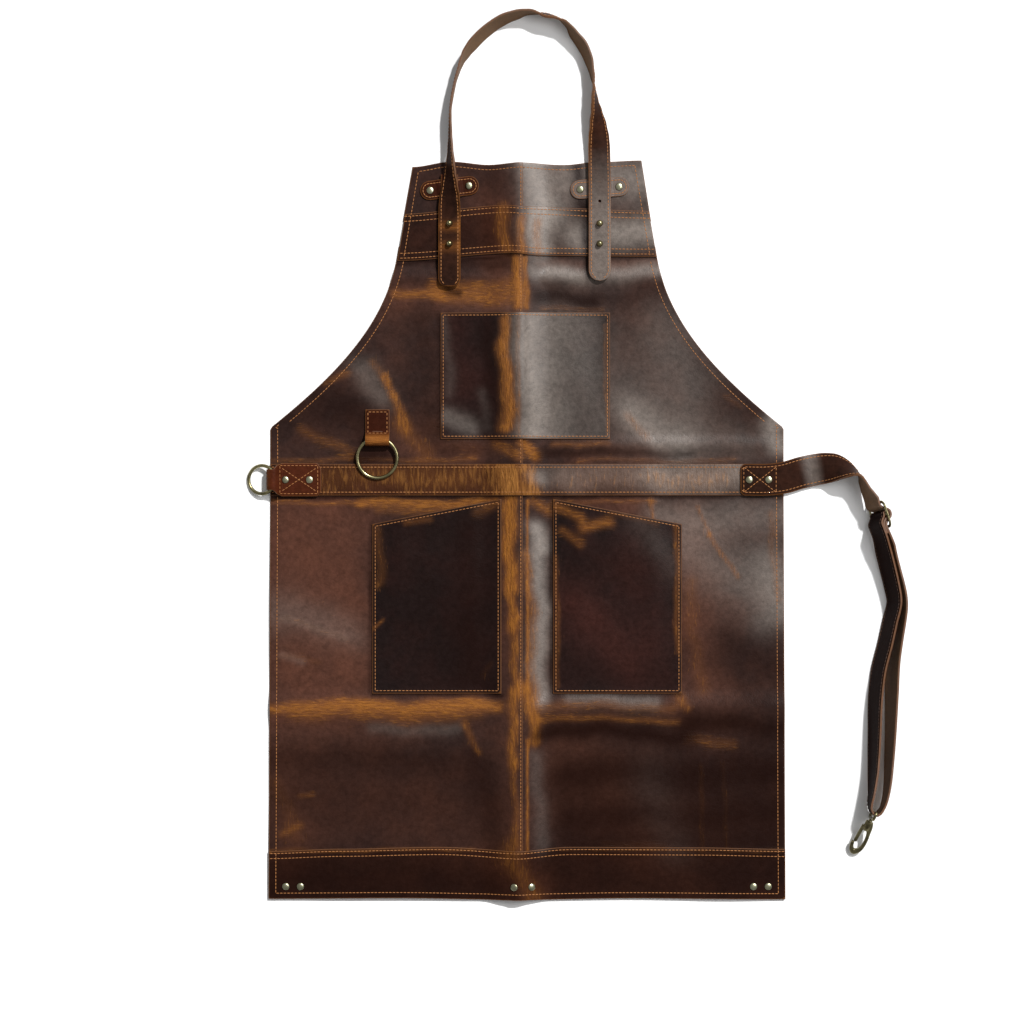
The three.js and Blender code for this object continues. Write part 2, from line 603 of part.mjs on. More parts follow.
function roundEnd(stations, radius, fromEnd) {
  const tip = (fromEnd ? stations[stations.length - 1] : stations[0]).edge.clone();
  for (const station of stations) {
    const distance = station.edge.distanceTo(tip);
    if (distance < radius) {
      const inset = radius - Math.sqrt(radius ** 2 - (radius - distance) ** 2);
      station.inset = Math.max(station.inset ?? 0, inset);
    }
  }
}

// Neck strap. Columns: place across as a share of NECK_SPREAD, height over the bib's top edge as a share of
// NECK_RISE, or below it of NECK_DROP, lean, and lift as a share of the height over the bib
const NECK_ROWS = [
  [-0.5, -1, 0, 1], [-0.5, -0.976, 0, 1], [-0.5, -0.93, 0, 1], [-0.5, -0.75, 0, 1], [-0.5, -0.585, 0, 1],
  [-0.5, -0.49, 0, 1], [-0.499, -0.43, 0, 1], [-0.499, -0.37, 8, 1], [-0.498, -0.285, 24, 1],
  [-0.497, -0.187, 46, 1],
  [-0.496, -0.098, 60, 1], [-0.495, -0.016, 68, 1], [-0.495, 0.087, 78, 0.4], [-0.495, 0.187, 84, 0],
  [-0.495, 0.287, 87, 0], [-0.492, 0.367, 89, 0], [-0.479, 0.453, 90, 0], [-0.46, 0.547, 90, 0],
  [-0.44, 0.613, 92, 0], [-0.419, 0.673, 97, 0], [-0.387, 0.733, 106, 0], [-0.337, 0.797, 112, 0],
  [-0.267, 0.867, 112, 0], [-0.157, 0.945, 111, 0], [-0.067, 0.981, 106, 0], [0.034, 1.003, 94, 0],
  [0.143, 0.981, 74, 0], [0.213, 0.963, 80, 0], [0.279, 0.923, 94, 0], [0.331, 0.85, 107, 0],
  [0.384, 0.78, 112, 0], [0.424, 0.695, 108, 0], [0.451, 0.589, 97, 0], [0.463, 0.5, 86, 0],
  [0.469, 0.42, 74, 0], [0.48, 0.347, 62, 0], [0.489, 0.253, 40, 0.1], [0.494, 0.167, 20, 0.4],
  [0.496, 0.087, 6, 0.8], [0.498, -0.016, 0, 1], [0.5, -0.18, 0, 1], [0.5, -0.3, 0, 1], [0.5, -0.585, 0, 1],
  [0.5, -0.8, 0, 1], [0.5, -0.875, 0, 1], [0.5, -0.93, 0, 1], [0.5, -0.956, 0, 1],
];

function addNeckStrap() {
  const rows = NECK_ROWS.map(([across, up, lean, lift]) => [
    NECK_X + across * NECK_SPREAD, BIB_TOP + up * (up > 0 ? NECK_RISE : NECK_DROP),
    lean, lift * STRAP_OVER_BIB,
  ]);
  const stations = stationsOf(rows, NECK_WIDTH, STRAP_LEATHER, 2);
  roundEnd(stations, NECK_END_CORNERS[0] * NECK_WIDTH, false);
  roundEnd(stations, NECK_END_CORNERS[1] * NECK_WIDTH, true);
  let strap = ribbon(stations, NECK_WIDTH, STRAP_LEATHER);
  for (const side of Object.keys(sides)) {
    for (const k of [0, 1]) strap = strap.subtract(shank(keeperX(side), studY(k), STUD_NECK_RADIUS + GAP));
  }
  strap = strap.subtract(shank(keeperX('right'), BIB_TOP - NECK_HOLE * NECK_DROP, STRAP_HOLE_RADIUS));
  addMesh(apron, 'neck_strap', geometryOf(strap), leatherMaterial(leatherColours.strap));
}

// A strip folded round a ring: a doubled body with a round hollow at its end. The profile runs along the
// strip and up, with the hollow's middle at 0,0 and the body towards +X.
function foldedProfile(hollow, length) {
  const outer = hollow + TAB_LEATHER;
  const shape = new THREE.Shape();
  const rise = radians(FOLD_SHOULDER);
  const top = 2 * TAB_LEATHER - outer;
  shape.moveTo(length, -outer);
  shape.lineTo(length, top);
  shape.lineTo((outer - top * Math.sin(rise)) / Math.cos(rise), top);
  shape.lineTo(outer * Math.cos(rise), outer * Math.sin(rise));
  shape.absarc(0, 0, outer, rise, 1.5 * Math.PI);
  const hole = new THREE.Path();
  hole.absarc(0, 0, hollow, 0, 2 * Math.PI, true);
  shape.holes.push(hole);
  return shape;
}

// How far a ring's wire bows across a tab of this width, how much its slant widens it at the tab's edges, and
// the hollow that lets it swing
const chordReach = (radius, width) => Math.sqrt(radius ** 2 - (width / 2) ** 2);
const bow = (radius, width) => radius - chordReach(radius, width);
const slant = (radius, width) => RING_WIRE_RADIUS * (radius / chordReach(radius, width) - 1);
const hollowFor = (radius, width) =>
  (bow(radius, width) + slant(radius, width)) / 2 + RING_WIRE_RADIUS + 1.5 * GAP;

function addRing(name, radius, tabWidth, axis, heading, restHeight) {
  const reach = radius - (bow(radius, tabWidth) + slant(radius, tabWidth)) / 2;
  const hinge = new THREE.Group();
  hinge.position.copy(axis);
  hinge.rotation.z = heading;
  apron.add(hinge);
  const ring = addMesh(hinge, name, new THREE.TorusGeometry(radius, RING_WIRE_RADIUS, 7, 24), brassMaterial);
  const tilt = Math.asin((axis.z - restHeight - RING_WIRE_RADIUS - GAP / 3) / (reach + radius));
  ring.rotation.y = tilt;
  ring.position.set(reach * Math.cos(tilt), 0, -reach * Math.sin(tilt));
}

function addRingTab() {
  const hollow = hollowFor(TOOL_RING_RADIUS, RING_TAB_WIDTH);
  const axis = new THREE.Vector3(RING_TAB_X, BELT_WIDTH / 2 + RING_AXIS_RAISE, LAYER + TAB_LEATHER + hollow);
  const profile = extruded(foldedProfile(hollow, RING_TAB_LENGTH), RING_TAB_WIDTH, 8);
  const tab = addMesh(apron, 'ring_tab', profile.rotateX(Math.PI / 2).translate(0, RING_TAB_WIDTH / 2, 0)
    .rotateZ(Math.PI / 2), leatherMaterial(leatherColours.tab));
  tab.position.copy(axis);
  addRing('tool_ring', TOOL_RING_RADIUS, RING_TAB_WIDTH, axis, -Math.PI / 2, ON_BELT);
}

function addSideTab() {
  const hollow = hollowFor(SIDE_RING_RADIUS, SIDE_NECK_WIDTH);
  const outer = hollow + TAB_LEATHER;
  const axis = new THREE.Vector3(SIDE_TAB_LEFT, 0, ON_BELT + outer);
  const folded = extruded(foldedProfile(hollow, SIDE_TAB_LENGTH), SIDE_TAB_HEIGHT, 8);
  const strip = solidOf(folded.rotateX(Math.PI / 2).translate(0, SIDE_TAB_HEIGHT / 2, 0));
  const plan = new THREE.Shape();
  const [half, neck, corner] = [SIDE_TAB_HEIGHT / 2, SIDE_NECK_WIDTH / 2, SIDE_TAB_CORNER];
  plan.moveTo(-2 * outer, -neck);
  plan.lineTo(0, -neck);
  plan.lineTo(outer, -half);
  plan.lineTo(SIDE_TAB_LENGTH - corner, -half);
  plan.absarc(SIDE_TAB_LENGTH - corner, corner - half, corner, -Math.PI / 2, 0);
  plan.absarc(SIDE_TAB_LENGTH - corner, half - corner, corner, 0, Math.PI / 2);
  plan.lineTo(outer, half);
  plan.lineTo(0, neck);
  plan.lineTo(-2 * outer, neck);
  let tab = strip.intersect(prism(plan));
  for (const [x] of sideRivets) tab = tab.subtract(shank(x - axis.x, 0, RIVET_SHANK + GAP));
  const mesh = addMesh(apron, 'side_tab', geometryOf(tab), leatherMaterial(leatherColours.tab));
  mesh.position.copy(axis);
  addRing('side_ring', SIDE_RING_RADIUS, SIDE_NECK_WIDTH, axis, Math.PI, 0);
}

// Waist strap. It is sewn on the belt, stands up on edge, runs through the slider, down and round the hook's
// eye, and back up to the slider's middle bar.
const waistPlace = ([out, down]) => [
  SKIRT_WIDTH / 2 + out * (out < 0 ? WAIST_TAB_LENGTH : WAIST_REACH), -down * WAIST_HANG,
];

// The slider's own directions: along the strap, across it, and out of its face
const sliderAlong = new THREE.Vector3(
  Math.cos(radians(SLIDER_HEADING)), Math.sin(radians(SLIDER_HEADING)), 0);
const sliderAcross = new THREE.Vector3(sliderAlong.y, -sliderAlong.x, 0)
  .multiplyScalar(Math.cos(radians(SLIDER_LEAN))).setZ(Math.sin(radians(SLIDER_LEAN)));
const sliderFace = sliderAlong.clone().cross(sliderAcross);
const SLIDER_HALF_WIDTH = WAIST_WIDTH / 2 + SLIDER_CLEARANCE + SLIDER_WIRE;
const sliderMiddle = new THREE.Vector3(...waistPlace(SLIDER_AT),
  sliderAcross.z * SLIDER_HALF_WIDTH + sliderFace.z * SLIDER_DEPTH / 2);
const AT_SLIDER = sliderMiddle.z - sliderAcross.z * WAIST_WIDTH / 2;

// Columns: out from the apron's edge as a share of WAIST_REACH, or on the belt of WAIST_TAB_LENGTH, down as a
// share of WAIST_HANG, lean, lift
const WAIST_FIRST_ROWS = [
  [-1, 0, 0, ON_BELT], [-0.95, 0, 0, ON_BELT], [-0.8, 0, 0, ON_BELT], [-0.4, 0, 0, ON_BELT],
  [0.001, -0.006, 0, ON_BELT], [0.13, -0.02, 0, 0.75 * ON_BELT], [0.224, -0.028, 3, 0.3 * ON_BELT],
  [0.32, -0.034, 12, 0], [0.416, -0.037, 32, 0], [0.496, -0.033, 56, 0], [0.56, -0.025, 76, 0],
  [0.6, -0.013, 88, 0], [0.622, 0.006, 96, 0], [0.645, 0.031, 101, 0.5 * AT_SLIDER],
  [0.676, 0.056, 106, 0.9 * AT_SLIDER],
];
const WAIST_REAR_ROWS = [
  [0.816, 0.196, 112, 0.7 * AT_SLIDER], [0.838, 0.235, 113, 0.4 * AT_SLIDER], [0.872, 0.283, 113, 0],
  [0.908, 0.337, 113, 0], [0.922, 0.379, 110, 0], [0.896, 0.46, 108, 0], [0.866, 0.541, 108, 0],
  [0.856, 0.628, 107, 0], [0.845, 0.76, 102, 0], [0.832, 0.85, 99, 0.2 * AT_EYE],
  [0.821, 0.904, 96, 0.7 * AT_EYE], [0.8, 0.952, 93, AT_EYE], [0.776, 0.98, 90, AT_EYE],
  [0.745, 0.996, 90, AT_EYE], [0.714, 1, 90, AT_EYE], [0.69, 0.993, 90, AT_EYE], [0.674, 0.975, 90, AT_EYE],
  [0.684, 0.943, 86, AT_EYE], [0.702, 0.871, 78, 0.5 * AT_EYE], [0.709, 0.814, 75, 0], [0.715, 0.736, 73, 0],
  [0.72, 0.661, 71, 0], [0.747, 0.568, 70, 0], [0.795, 0.496, 70, 0], [0.843, 0.415, 70, 0],
  [0.872, 0.367, 70, 0], [0.858, 0.328, 68, 0], [0.818, 0.265, 67, 0.4 * AT_SLIDER],
  [0.784, 0.216, 67, 0.8 * AT_SLIDER],
];

// In the slider, in millimetres from its middle. Columns: along the strap, out of the slider's face.
// The strap runs over the frame's two ends and behind the middle bar, round which its own end is wrapped.
const BAR_REACH = (SLIDER_LENGTH - SLIDER_WIRE) / 2;
const WRAP = SLIDER_BAR / 2 + GAP + STRAP_LEATHER / 2 + 0.25;
const OVER_WIRE = SLIDER_DEPTH / 2 + 2 * GAP + STRAP_LEATHER / 2;
const PLY = STRAP_LEATHER + GAP;
const BEHIND = -WRAP - PLY - GAP / 2;
const BEND = BAR_REACH - SLIDER_WIRE / 2 - STRAP_LEATHER * 0.8;
const SLIDER_MAIN_ROWS = [
  [-BAR_REACH - 6, OVER_WIRE], [-BEND, OVER_WIRE + GAP], [-WRAP, BEHIND], [WRAP, BEHIND],
  [BEND, OVER_WIRE + GAP], [BAR_REACH + 6, OVER_WIRE],
];
const SLIDER_END_ROWS = [
  [BAR_REACH + 9, OVER_WIRE + 2.1 * PLY], [BAR_REACH, OVER_WIRE + 2.2 * PLY],
  [0.7 * BEND, OVER_WIRE + 2.2 * PLY],
  ...[80, 125, 170, 215, 260, 300].map(radians).map(turn => [WRAP * Math.cos(turn), WRAP * Math.sin(turn)]),
  [0.86 * BEND, OVER_WIRE + 1.1 * PLY], [BAR_REACH + 7, OVER_WIRE + 1.05 * PLY],
];

function inSlider([along, out]) {
  const edge = sliderMiddle.clone().addScaledVector(sliderAlong, along).addScaledVector(sliderFace, out)
    .addScaledVector(sliderAcross, -WAIST_WIDTH / 2);
  return { edge, across: sliderAcross.clone() };
}

function addWaistStrap() {
  const placed = rows => {
    const inPlan = rows.map(([out, down, lean, lift]) => [...waistPlace([out, down]), lean, lift]);
    return stationsOf(inPlan, WAIST_WIDTH, STRAP_LEATHER, 2);
  };
  const stations = [
    ...placed(WAIST_FIRST_ROWS), ...SLIDER_MAIN_ROWS.map(inSlider), ...placed(WAIST_REAR_ROWS),
    ...SLIDER_END_ROWS.map(inSlider),
  ];
  roundEnd(stations.slice(0, 12), SIDE_TAB_CORNER, false);
  let strap = ribbon(stations, WAIST_WIDTH, STRAP_LEATHER);
  for (const [x, y] of waistRivets) strap = strap.subtract(shank(x, y, RIVET_SHANK + GAP));
  addMesh(apron, 'waist_strap', geometryOf(strap), leatherMaterial(leatherColours.strap));
}

// Slider: a rounded brass frame with a middle bar
function roundedBox(shape, width, height, radius) {
  const [x, y] = [width / 2 - radius, height / 2 - radius];
  shape.absarc(x, y, radius, 0, Math.PI / 2);
  shape.absarc(-x, y, radius, Math.PI / 2, Math.PI);
  shape.absarc(-x, -y, radius, Math.PI, 1.5 * Math.PI);
  shape.absarc(x, -y, radius, 1.5 * Math.PI, 2 * Math.PI);
  return shape;
}

function turnTo(object, x, y, z, at) {
  object.setRotationFromMatrix(new THREE.Matrix4().makeBasis(x, y, z));
  object.position.copy(at);
}

function addSlider() {
  const shape = roundedBox(new THREE.Shape(), SLIDER_LENGTH, 2 * SLIDER_HALF_WIDTH, SLIDER_CORNER);
  const inner = SLIDER_HALF_WIDTH - SLIDER_WIRE;
  const windowCorner = SLIDER_CORNER - SLIDER_WIRE;
  const window = roundedBox(new THREE.Shape(), SLIDER_LENGTH - 2 * SLIDER_WIRE, 2 * inner, windowCorner);
  const frame = solidOf(extruded(shape, SLIDER_DEPTH, 4).translate(0, 0, -SLIDER_DEPTH / 2))
    .subtract(solidOf(extruded(window, 2 * SLIDER_WIRE, 4).translate(0, 0, -SLIDER_WIRE)));
  const bar = solidOf(new THREE.CylinderGeometry(SLIDER_BAR / 2, SLIDER_BAR / 2, 2 * inner + SLIDER_WIRE, 8));
  const mesh = addMesh(apron, 'strap_slider', geometryOf(frame.add(bar)), brassMaterial);
  turnTo(mesh, sliderAlong, sliderAcross, sliderFace, sliderMiddle);
}

// Swivel snap hook. Its own frame: Y along the hook to its tip, X across it, Z out of its flat face.
const EYE_PITCH = 2 * EYE_WIRE_RADIUS + STRAP_LEATHER + 2 * GAP + 2;
const EYE_TALL = WAIST_WIDTH + 2 * GAP + 2 * EYE_WIRE_RADIUS;
const eyeHeading = new THREE.Vector3(Math.cos(radians(HOOK_HEADING)), Math.sin(radians(HOOK_HEADING)), 0);
const eyeBar = new THREE.Vector3(...waistPlace(EYE_BAR_AT), EYE_WIRE_RADIUS + EYE_TALL / 2);
const STEM_LENGTH = 5;
const STEM_DEPTH = 5.5;
const STEM_RADIUS = 2.2;
const BARREL_RADIUS = 4.2;
const UP = new THREE.Vector3(0, 0, 1);

const hookOrigin = eyeBar.clone().addScaledVector(eyeHeading, EYE_PITCH + EYE_WIRE_RADIUS + STEM_LENGTH / 2);
const hookDrop = Math.asin((hookOrigin.z - HOOK_THICKNESS / 2 - GAP) / (HOOK_LENGTH + STEM_LENGTH / 2));
const hookAlong = eyeHeading.clone().multiplyScalar(Math.cos(hookDrop)).setZ(-Math.sin(hookDrop));
const hookAcross = new THREE.Vector3().crossVectors(hookAlong, UP).normalize();
const hookFace = new THREE.Vector3().crossVectors(hookAcross, hookAlong);

const rod = (radius, length) => new THREE.CylinderGeometry(radius, radius, length, 10);

function addHookEye() {
  const upright = rod(EYE_WIRE_RADIUS, EYE_TALL + 2 * EYE_WIRE_RADIUS).rotateX(Math.PI / 2);
  const arm = rod(EYE_WIRE_RADIUS, EYE_PITCH).rotateZ(Math.PI / 2);
  const parts = [upright.clone(), upright.clone().translate(EYE_PITCH, 0, 0)];
  for (const end of [-1, 1]) parts.push(arm.clone().translate(EYE_PITCH / 2, 0, end * EYE_TALL / 2));
  const drop = new THREE.Matrix4().makeRotationY(hookDrop);
  const stemLength = STEM_LENGTH + STEM_DEPTH;
  const stem = rod(STEM_RADIUS, stemLength).rotateZ(Math.PI / 2)
    .translate(stemLength / 2 - STEM_LENGTH / 2, 0, 0)
    .applyMatrix4(drop).translate(EYE_PITCH + EYE_WIRE_RADIUS + STEM_LENGTH / 2, 0, 0);
  const eye = [...parts, stem].map(solidOf).reduce((whole, part) => whole.add(part));
  const mesh = addMesh(apron, 'hook_eye', geometryOf(eye), darkBrassMaterial);
  mesh.position.copy(eyeBar);
  mesh.rotation.z = radians(HOOK_HEADING);
}

// Hook's plan outline. Columns: share of half its width, share of its length
const HOOK_OUTER = [
  [0.5, 0], [-0.5, 0], [-0.72, 0.12], [-0.85, 0.3], [-1, 0.52], [-1, 0.72], [-0.8, 0.87], [-0.35, 0.98],
  [0.15, 1], [0.6, 0.93], [0.88, 0.8], [0.9, 0.68], [0.5, 0.68],
];
const HOOK_INNER = [
  [0.4, 0.78], [0.1, 0.86], [-0.25, 0.82], [-0.5, 0.7], [-0.52, 0.52], [-0.35, 0.34], [-0.1, 0.26],
  [0.5, 0.26],
];
const GATE_PIVOT = [0.5, 0.18];

// The gate lies in a slot in the hook's side, with room behind it to swing inwards
function addHook() {
  const place = ([across, along]) => [across * HOOK_WIDTH / 2, along * HOOK_LENGTH];
  const outlineOf = polygon([...HOOK_OUTER, ...HOOK_INNER].map(place));
  const plate = solidOf(extruded(outlineOf, HOOK_THICKNESS).translate(0, 0, -HOOK_THICKNESS / 2));
  const barrelLength = HOOK_BARREL_SHARE * HOOK_LENGTH;
  const barrel = solidOf(rod(BARREL_RADIUS, barrelLength).translate(0, barrelLength / 2, 0));
  const bore = solidOf(rod(STEM_RADIUS + GAP, STEM_LENGTH + 2 * (STEM_DEPTH + GAP)));
  const [pivotX, pivotY] = place(GATE_PIVOT);
  const slotWall = pivotX - GATE_WIDTH / 2 - GATE_SWING_ROOM;
  const slotLength = HOOK_SLOT_SHARE * HOOK_LENGTH;
  const slot = solidOf(new THREE.BoxGeometry(HOOK_WIDTH, slotLength, GATE_THICKNESS + 2 * GAP)
    .translate(slotWall + HOOK_WIDTH / 2, slotLength / 2 + HOOK_SLOT_START * HOOK_LENGTH, 0));
  const group = new THREE.Group();
  turnTo(group, hookAcross, hookAlong, hookFace, hookOrigin);
  apron.add(group);
  addMesh(group, 'hook_body', geometryOf(plate.add(barrel).subtract(bore).subtract(slot)), darkBrassMaterial);
  const gateLength = GATE_LENGTH_SHARE * HOOK_LENGTH;
  const gate = roundedBox(new THREE.Shape(), GATE_WIDTH, gateLength, 0.45 * GATE_WIDTH);
  const lever = addMesh(group, 'hook_gate', extruded(gate, GATE_THICKNESS, 4)
    .translate(0, gateLength / 2 - GATE_WIDTH / 2, -GATE_THICKNESS / 2), brassMaterial);
  lever.position.set(pivotX, pivotY, 0);
}

addPanels();
addBands();
addPockets();
addKeepers();
addHangers();
addStuds();
addRivets();
addNeckStrap();
addRingTab();
addSideTab();
addWaistStrap();
addSlider();
addHookEye();
addHook();

// The whole rests on the floor at Z = 0, with its bounding box centred over the origin
const bounds = new THREE.Box3().setFromObject(apron, true);
const middle = bounds.getCenter(new THREE.Vector3());
apron.position.set(-middle.x, -middle.y, -bounds.min.z);

const part = new THREE.Group();
part.add(apron);

export default part;
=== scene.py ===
# Leather work apron with a bib, lying on its back and seen from straight above.
# Everything is in metres in the part's frame. Shapes are drawn in millimetres from the middle of the waist
# belt, X across the apron and Y towards the bib, and put in the part's frame when they are finished.

import json
import math

import bmesh
import bpy
import numpy as np
from mathutils import Matrix, Vector, noise


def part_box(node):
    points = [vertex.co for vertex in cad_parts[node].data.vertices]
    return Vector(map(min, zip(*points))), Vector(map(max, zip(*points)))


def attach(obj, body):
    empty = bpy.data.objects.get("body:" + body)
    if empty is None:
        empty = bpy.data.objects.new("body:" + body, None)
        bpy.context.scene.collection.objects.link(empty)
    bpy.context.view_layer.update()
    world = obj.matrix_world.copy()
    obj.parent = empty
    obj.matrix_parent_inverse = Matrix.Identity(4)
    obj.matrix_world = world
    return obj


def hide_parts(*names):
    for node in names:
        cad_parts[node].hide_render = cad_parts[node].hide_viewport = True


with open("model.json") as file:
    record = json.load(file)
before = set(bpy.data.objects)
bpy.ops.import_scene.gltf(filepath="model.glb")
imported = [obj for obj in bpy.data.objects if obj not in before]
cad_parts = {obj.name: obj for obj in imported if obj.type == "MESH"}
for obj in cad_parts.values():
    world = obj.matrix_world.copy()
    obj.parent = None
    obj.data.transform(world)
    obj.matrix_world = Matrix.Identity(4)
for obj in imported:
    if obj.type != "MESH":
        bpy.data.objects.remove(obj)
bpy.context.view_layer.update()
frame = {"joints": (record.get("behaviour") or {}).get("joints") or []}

MM = 0.001
belt_low, belt_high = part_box("waist_belt")
BELT_MIDDLE = (belt_low + belt_high) / 2
joints = {joint["name"]: joint for joint in frame["joints"]}

# Leather thicknesses and the clearance between layers, as in the part
LEATHER = 1.8
TAB_LEATHER = 1.6
HANGER_LEATHER = 1.4
STRAP_LEATHER = 2.2
GAP = 0.3
LAYER = LEATHER + GAP

# Body of the apron
SKIRT_HEIGHT = 486.0
HEM_HEIGHT = 60.0
SIDE_HEIGHT = 60.0
ARMHOLE_HEIGHT = 198.0
BIB_BAND_HEIGHT = 53.0
TOP_BAND_HEIGHT = 55.0
BELT_WIDTH = 36.5
HEM_WIDTH = 598.0
SKIRT_WIDTH = 594.0
CHEST_TOP_WIDTH = 301.0
BIB_TOP_WIDTH = 265.0
SEAM_X = -5.0
SEAM_LAP = 8.0
LAP_RAMP = 7.0
BAND_LAP = 12.0
CREST_X = SEAM_X - SEAM_LAP
CHEST_TOP = SIDE_HEIGHT + ARMHOLE_HEIGHT
BAND_TOP = CHEST_TOP + BIB_BAND_HEIGHT
BIB_TOP = BAND_TOP + TOP_BAND_HEIGHT

# Cross edges. Columns: place across the half width, rise as a share of the band's height
BIB_TOP_EDGE = [(-1, -0.07), (-0.66, 0.04), (-0.32, -0.03), (-0.05, 0.01), (0.32, -0.03), (0.61, 0.03), (1, 0.065)]
BAND_TOP_EDGE = [(-1, -0.07), (-0.17, 0.12), (-0.03, 0.09), (1, 0)]
BAND_BOTTOM_EDGE = [(-1, -0.09), (-0.13, 0.07), (0.1, 0.02), (1, 0)]
HEM_TOP_EDGE = [(-1, -0.06), (-0.72, -0.015), (-0.34, 0.02), (-0.03, -0.05), (0.17, 0.02), (0.67, 0.01), (1, -0.02)]
HEM_BOTTOM_EDGE = [(-1, 0.02), (-0.5, 0.035), (-0.05, 0), (0.4, 0.03), (1, 0.01)]
ARMHOLE_HANDLES = [(0.08, 0.36), (0.42, 0.66)]

# Pockets
SKIRT_POCKET_WIDTH = 149.0
SKIRT_POCKET_DEPTH = 225.0
SKIRT_POCKET_SLANT = 29.0
SKIRT_POCKET_INSET = 30.0
SKIRT_POCKET_TOP = -BELT_WIDTH / 2 - 4.0
CHEST_POCKET_WIDTH = 196.0
CHEST_POCKET_HEIGHT = 146.0
CHEST_POCKET_BOTTOM = BELT_WIDTH / 2 + 29.0
CHEST_POCKET_X = -2.0
POCKET_EASE = 4.0

# Folds pressed into the leather
FOLD_RISE = 9.0
FOLD_HALF_WIDTH = 42.0
CROSS_FOLDS = [
    {"at": 0.64 * BIB_TOP, "half": 0.34, "rise": 0.32, "start": -0.5, "end": 0.5},
    {"at": 0.11 * BIB_TOP, "half": 0.33, "rise": 0.3, "start": -0.3, "end": 0.85},
    {"at": -0.545 * SKIRT_HEIGHT, "half": 0.62, "rise": 0.5, "start": -0.95, "end": 0.95},
]
UNDULATION = 2.2
UNDULATION_PITCH = 95.0

# Sewing
STITCH_PITCH = 4.2
STITCH_LENGTH = 3.6
THREAD_WIDTH = 1.0
OUTLINE_SEAM = 8.3
GRID = 3.4


def at(x, y, z=0.0):
    return Vector((BELT_MIDDLE.x + x * MM, BELT_MIDDLE.y + y * MM, z * MM))


def clamp01(value):
    return min(1.0, max(0.0, value))


def ramp(value, start, end):
    return clamp01((value - start) / (end - start))


def smooth(value):
    return value * value * (3 - 2 * value)


def lerp(a, b, share):
    return a + (b - a) * share


def through(rows, value):
    """Smooth curve through a table's rows."""
    if value <= rows[0][0]:
        return rows[0][1]
    for (x0, y0), (x1, y1) in zip(rows, rows[1:]):
        if value <= x1:
            return lerp(y0, y1, smooth((value - x0) / (x1 - x0)))
    return rows[-1][1]


# The drape: the height of the leather's underside over the floor
def bump(distance, half):
    return math.cos(math.pi / 2 * distance / half) ** 2 if abs(distance) < half else 0.0


def undulation(x, y):
    """Slow waves of leather that was folded in a box. They die out under the belt, the bib and the metal."""
    free = smooth(ramp(abs(y), 45, 95)) * smooth(ramp(y, 240, 190))
    wave = noise.noise(Vector((x / UNDULATION_PITCH, y / UNDULATION_PITCH, 7.3)))
    return UNDULATION * free * clamp01(0.5 + 0.9 * wave)


def drape(x, y):
    ridge = FOLD_RISE * bump(x - CREST_X, FOLD_HALF_WIDTH)
    total = ridge ** 4
    for fold in CROSS_FOLDS:
        half = SKIRT_WIDTH / 2
        start = ramp(x, fold["start"] * half - FOLD_HALF_WIDTH, fold["start"] * half)
        reach = start * ramp(x, fold["end"] * half + FOLD_HALF_WIDTH, fold["end"] * half)
        height = fold["rise"] * FOLD_RISE * bump(y - fold["at"], fold["half"] * FOLD_HALF_WIDTH)
        total += (smooth(reach) * height) ** 4
    return total ** 0.25 + undulation(x, y)


# Lifts above the drape, as in the part
def climb(x):
    return LAYER * ramp(x, CREST_X - LAP_RAMP, CREST_X)


def over_seam(x):
    return climb(x) if x < CREST_X else LAYER * ramp(x, SEAM_X + LAP_RAMP, SEAM_X)


def flat_lift(x, y):
    return 0.0


def lapped_lift(x, y):
    return climb(x)


def band_lift(x, y):
    return LAYER + over_seam(x)


def pocket_lift(x0, x1, bottom, top):
    def lift(x, y):
        wide = smooth(ramp(x, x0, x0 + (x1 - x0) / 4)) * smooth(ramp(x, x1, x1 - (x1 - x0) / 4))
        deep = smooth(ramp(y, bottom, bottom + (top - bottom) / 2))
        return LAYER + over_seam(x) + POCKET_EASE * wide * deep
    return lift


# Outlines in plan
def bezier(points, t):
    a, b, c, d = points
    s = 1 - t
    return s ** 3 * a + 3 * s * s * t * b + 3 * s * t * t * c + t ** 3 * d


def armhole_point(t):
    chest, skirt = CHEST_TOP_WIDTH / 2, SKIRT_WIDTH / 2
    (high_out, high_down), (low_out, low_down) = ARMHOLE_HANDLES
    xs = (skirt, chest + low_out * (skirt - chest), chest + high_out * (skirt - chest), chest)
    ys = (SIDE_HEIGHT, CHEST_TOP - low_down * ARMHOLE_HEIGHT, CHEST_TOP - high_down * ARMHOLE_HEIGHT, CHEST_TOP)
    return bezier(xs, t), bezier(ys, t)


ARMHOLE = [armhole_point(k / 60) for k in range(61)]
OUTLINE = [(HEM_WIDTH / 2, -SKIRT_HEIGHT), (SKIRT_WIDTH / 2, 0.0), *ARMHOLE, (BIB_TOP_WIDTH / 2, BIB_TOP)]
OUTLINE_X = [x for x, y in OUTLINE]
OUTLINE_Y = [y for x, y in OUTLINE]


def half_width(y):
    if y > BIB_TOP:
        return BIB_TOP_WIDTH / 2
    return float(np.interp(y, OUTLINE_Y, OUTLINE_X))


def cross_edge(rows, y, width, height):
    return lambda x: y + height * through(rows, x / (width / 2))


bib_top = cross_edge(BIB_TOP_EDGE, BIB_TOP, BIB_TOP_WIDTH, TOP_BAND_HEIGHT)
band_top = cross_edge(BAND_TOP_EDGE, BAND_TOP, CHEST_TOP_WIDTH, BIB_BAND_HEIGHT)
band_bottom = cross_edge(BAND_BOTTOM_EDGE, CHEST_TOP, CHEST_TOP_WIDTH, BIB_BAND_HEIGHT)
hem_top = cross_edge(HEM_TOP_EDGE, HEM_HEIGHT - SKIRT_HEIGHT, HEM_WIDTH, HEM_HEIGHT)
hem_bottom = cross_edge(HEM_BOTTOM_EDGE, -SKIRT_HEIGHT, HEM_WIDTH, HEM_HEIGHT)


